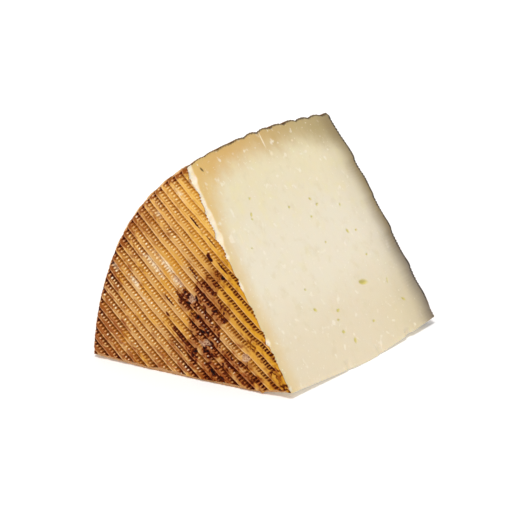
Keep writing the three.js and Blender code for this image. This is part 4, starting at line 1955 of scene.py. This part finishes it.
    def open_sheet(self) -> Sheet:
        """The open cut, from the apex to the side: its swell, less the eyes, with a fine tooth.

        Returns:
            The sheet.
        """
        grid = self.cut_grid(self.opened, self.columns + 1)
        out = grid[..., 0]
        along = grid[..., 1]
        height = self.opened.height(out, along)
        eye = np.zeros(out.shape)
        for hole in self.eyes:
            reach = hole.reach(along, out)
            height = height - hole.strength * (1.0 - ramp(0.25, 1.05, reach))
            eye = np.maximum(eye, (1.0 - ramp(0.5, 1.2, reach)) * self.eye_tint)
        height = height + self.tooth * Noise(self.seed).layers(out, along, 3.0, 4)
        x, z = self.opened.place(out, height)
        broken = ramp(0.02, 0.3, self.opened.chip(out, along))
        marks = {
            "broken": broken * ramp(0.5, 1.3, self.opened.chip_width(out)),
            "eye": eye,
            "score": strongest(self.scores, along, out, 0.3),
            "dirt": strongest(self.dirt, along, out, 0.4),
            "worn": 0.0,
        }
        return Sheet(x, along, z, {**self.bands(grid, grid[-1:, :, 0]), **marks})

    def lower_sheet(self) -> Sheet:
        """The lower cut, from the side back to the apex, which it leaves to the open cut.

        Returns:
            The sheet.
        """
        grid = self.cut_grid(self.lower, self.under_columns + 1)[:0:-1]
        out = grid[..., 0]
        along = grid[..., 1]
        x, z = self.lower.place(out, self.lower.height(out, along))
        values = {**self.bands(grid, grid[:1, :, 0]), **PLAIN}
        values["worn"] = 1.0 - ramp(1.5, 4.0, values["from_front"])
        return Sheet(x, along, z, values)

    def hidden_sheet(self, opened: Sheet, lower: Sheet) -> Sheet:
        """The side that lies under the side's rind, stretched between the two cuts.

        Its distance from the axis runs straight from cut to cut, but stays inside the barrel.

        Args:
            opened: The open cut.
            lower: The lower cut.

        Returns:
            The sheet, from the open cut to the lower one.
        """
        top_radius, top_angle = polar(opened.x[-1], opened.z[-1])
        low_radius, low_angle = polar(lower.x[0], lower.z[0])
        step = 1.0 / self.wheel.face_radius
        turn = np.linspace(0.0, 1.0, self.hidden_columns)[:, None]
        angle = mix(top_angle[None, :] - step, low_angle[None, :] + step, turn)
        radius = mix(top_radius[None, :], low_radius[None, :], turn) - self.layers.hidden
        barrel = self.wheel.barrel(self.steps[None, :], angle) - self.layers.hidden
        along = mix(opened.y[-1][None, :], lower.y[0][None, :], turn)
        x, z = from_polar(np.minimum(radius, barrel), angle)
        far = {"from_front": 20.0, "from_back": 20.0, "from_side": 0.0, "out": 90.0}
        return Sheet(x, along, z, {**far, "along": along, **PLAIN})

    def build(self) -> bpy.types.Object:
        """Makes the paste as one closed body: loops round the wedge, station by station from front to back.

        Each loop runs out along the open cut, round under the side's rind and back along the lower
        cut. At both ends the loop steps inwards and closes to a point, hidden under the rind.

        Returns:
            The new object.
        """
        mesh = Mesh()
        opened = self.open_sheet()
        lower = self.lower_sheet()
        sheets = (opened, self.hidden_sheet(opened, lower), lower)
        grids = [self.wheel.world(sheet.x, sheet.y, sheet.z) for sheet in sheets]
        numbers = [mesh.add(grid, **sheet.values) for grid, sheet in zip(grids, sheets)]
        loops = np.concatenate(numbers)
        mesh.sheet(np.concatenate([loops, loops[:1]]))
        places = np.concatenate(grids)
        for station, inwards in ((0, 1.0), (-1, -1.0)):
            self.cap(mesh, loops[:, station], places[:, station], inwards)
        return mesh.build("paste", self.crease)

    def cap(self, mesh: Mesh, numbers: Array, places: Array, inwards: float) -> None:
        """Closes one end of the paste under a flat face's rind.

        Args:
            mesh: The mesh in the making.
            numbers: The end loop's place numbers.
            places: Their places, in metres.
            inwards: The sign of y that leads into the wheel.
        """
        values = {"from_front": 0.0, "from_back": 0.0, "from_side": 0.0, "out": 50.0, "along": 0.0, **PLAIN}
        step = places.mean(axis=0) - places
        step[:, 1] = 0.0
        length = np.linalg.norm(step, axis=1, keepdims=True)
        ring_places = places + step / length * self.layers.hidden * MM
        ring_places[:, 1] += inwards * self.layers.hidden * MM
        ring = mesh.add(ring_places, **values)
        centre = mesh.add(ring_places.mean(axis=0)[None, :], **values)
        after = np.roll(numbers, -1)
        ring_after = np.roll(ring, -1)
        band = np.stack([after, numbers, ring, ring_after], axis=-1)
        fan = np.stack([ring_after, ring, np.full(len(ring), centre[0])], axis=-1)
        if inwards < 0:
            band = band[:, [1, 0, 3, 2]]
            fan = fan[:, [1, 0, 2]]
        mesh.faces.append(band)
        mesh.faces.append(fan)


@dataclass(frozen=True)
class Studio:
    """The pale floor, the soft lights and the camera at the photograph's viewing angle."""

    azimuth: float = math.radians(35.018)
    elevation: float = math.radians(16.426)
    roll: float = math.radians(-1.727)
    distance: float = 1.0
    lens: float = 173.8
    sensor: float = 36.0
    clip: tuple[float, float] = (0.05, 50.0)
    target: tuple[float, float, float] = (0.000555, -0.0036, 0.037199)
    floor_size: float = 8.0
    floor_colour: Colour = (0.93, 0.93, 0.93, 1.0)
    floor_roughness: float = 0.8
    floor_specular: float = 0.1
    sky_colour: Colour = (1.0, 1.0, 1.0, 1.0)
    sky: float = 0.48
    key: float = 1.9
    glow: float = 0.2
    key_spread: float = math.radians(16.0)
    key_from: tuple[float, float, float] = (0.2, -0.5, 1.1)

    def camera(self) -> None:
        """Puts the camera on its sphere round the target and rolls it."""
        a, e, r = self.azimuth, self.elevation, self.roll
        back = Vector((math.sin(a) * math.cos(e), -math.cos(a) * math.cos(e), math.sin(e)))
        right = Vector((math.cos(a), math.sin(a), 0.0))
        up = back.cross(right)
        rolled_right = right * math.cos(r) + up * math.sin(r)
        rolled_up = up * math.cos(r) - right * math.sin(r)
        data = bpy.data.cameras.new("camera")
        data.lens = self.lens
        data.sensor_width = self.sensor
        data.clip_start, data.clip_end = self.clip
        camera = bpy.data.objects.new("camera", data)
        place = Vector(self.target) + back * self.distance
        columns = Matrix((rolled_right, rolled_up, back)).transposed().to_4x4()
        camera.matrix_world = Matrix.Translation(place) @ columns
        bpy.context.scene.collection.objects.link(camera)
        bpy.context.scene.camera = camera

    def floor(self) -> None:
        """A plain pale floor under the cheese."""
        half = self.floor_size / 2.0
        mesh = bpy.data.meshes.new("floor")
        corners = [(-half, -half, 0.0), (half, -half, 0.0), (half, half, 0.0), (-half, half, 0.0)]
        mesh.from_pydata(corners, [], [(0, 1, 2, 3)])
        floor = bpy.data.objects.new("floor", mesh)
        bpy.context.scene.collection.objects.link(floor)
        shader = {
            "Base Color": self.floor_colour,
            "Roughness": self.floor_roughness,
            "Specular IOR Level": self.floor_specular,
            "Emission Color": self.floor_colour,
            "Emission Strength": self.glow,
        }
        mesh.materials.append(Tree("floor").surface({}, shader))

    def lights(self) -> None:
        """An even pale sky and a soft key light from above in front."""
        world = bpy.data.worlds.new("sky")
        world.use_nodes = True
        background = world.node_tree.nodes["Background"]
        background.inputs["Color"].default_value = self.sky_colour
        background.inputs["Strength"].default_value = self.sky
        bpy.context.scene.world = world
        sun = bpy.data.lights.new("key", "SUN")
        sun.energy = self.key
        sun.angle = self.key_spread
        key = bpy.data.objects.new("key", sun)
        key.rotation_euler = Vector(self.key_from).to_track_quat("Z", "Y").to_euler()
        bpy.context.scene.collection.objects.link(key)

    def build(self) -> None:
        """Sets up floor, lights and camera."""
        self.floor()
        self.lights()
        self.camera()
        bpy.context.scene.view_settings.view_transform = "Standard"


def dress(piece: bpy.types.Object, material: bpy.types.Material) -> None:
    """Gives a piece its material and its body, and hides the CAD part that it dresses.

    Args:
        piece: The finished piece.
        material: Its material.
    """
    piece.data.materials.append(material)
    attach(piece, BODY)
    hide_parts(NODE)


def main() -> None:
    """Builds the studio, then the rind and the paste, and reports each piece."""
    logging.basicConfig(level=logging.INFO, format="%(message)s", stream=sys.stdout)
    Studio().build()
    wheel = Wheel()
    opened = OpenCut(wheel)
    lower = LowerCut(wheel)
    front = FaceRind(End.FRONT, Rows.FRONT, 3, wheel, opened, lower)
    back = FaceRind(End.BACK, Rows.BACK, 17, wheel, opened, lower)
    side = SideRind(front, back, wheel, opened, lower)
    paste = Paste(wheel, opened, lower, front, back, side)
    rind = RindFinish("rind").material()
    dress(front.build(), rind)
    dress(back.build(), rind)
    dress(side.build(), rind)
    dress(paste.build(), PasteFinish().material())


if __name__ == "__main__":
    main()
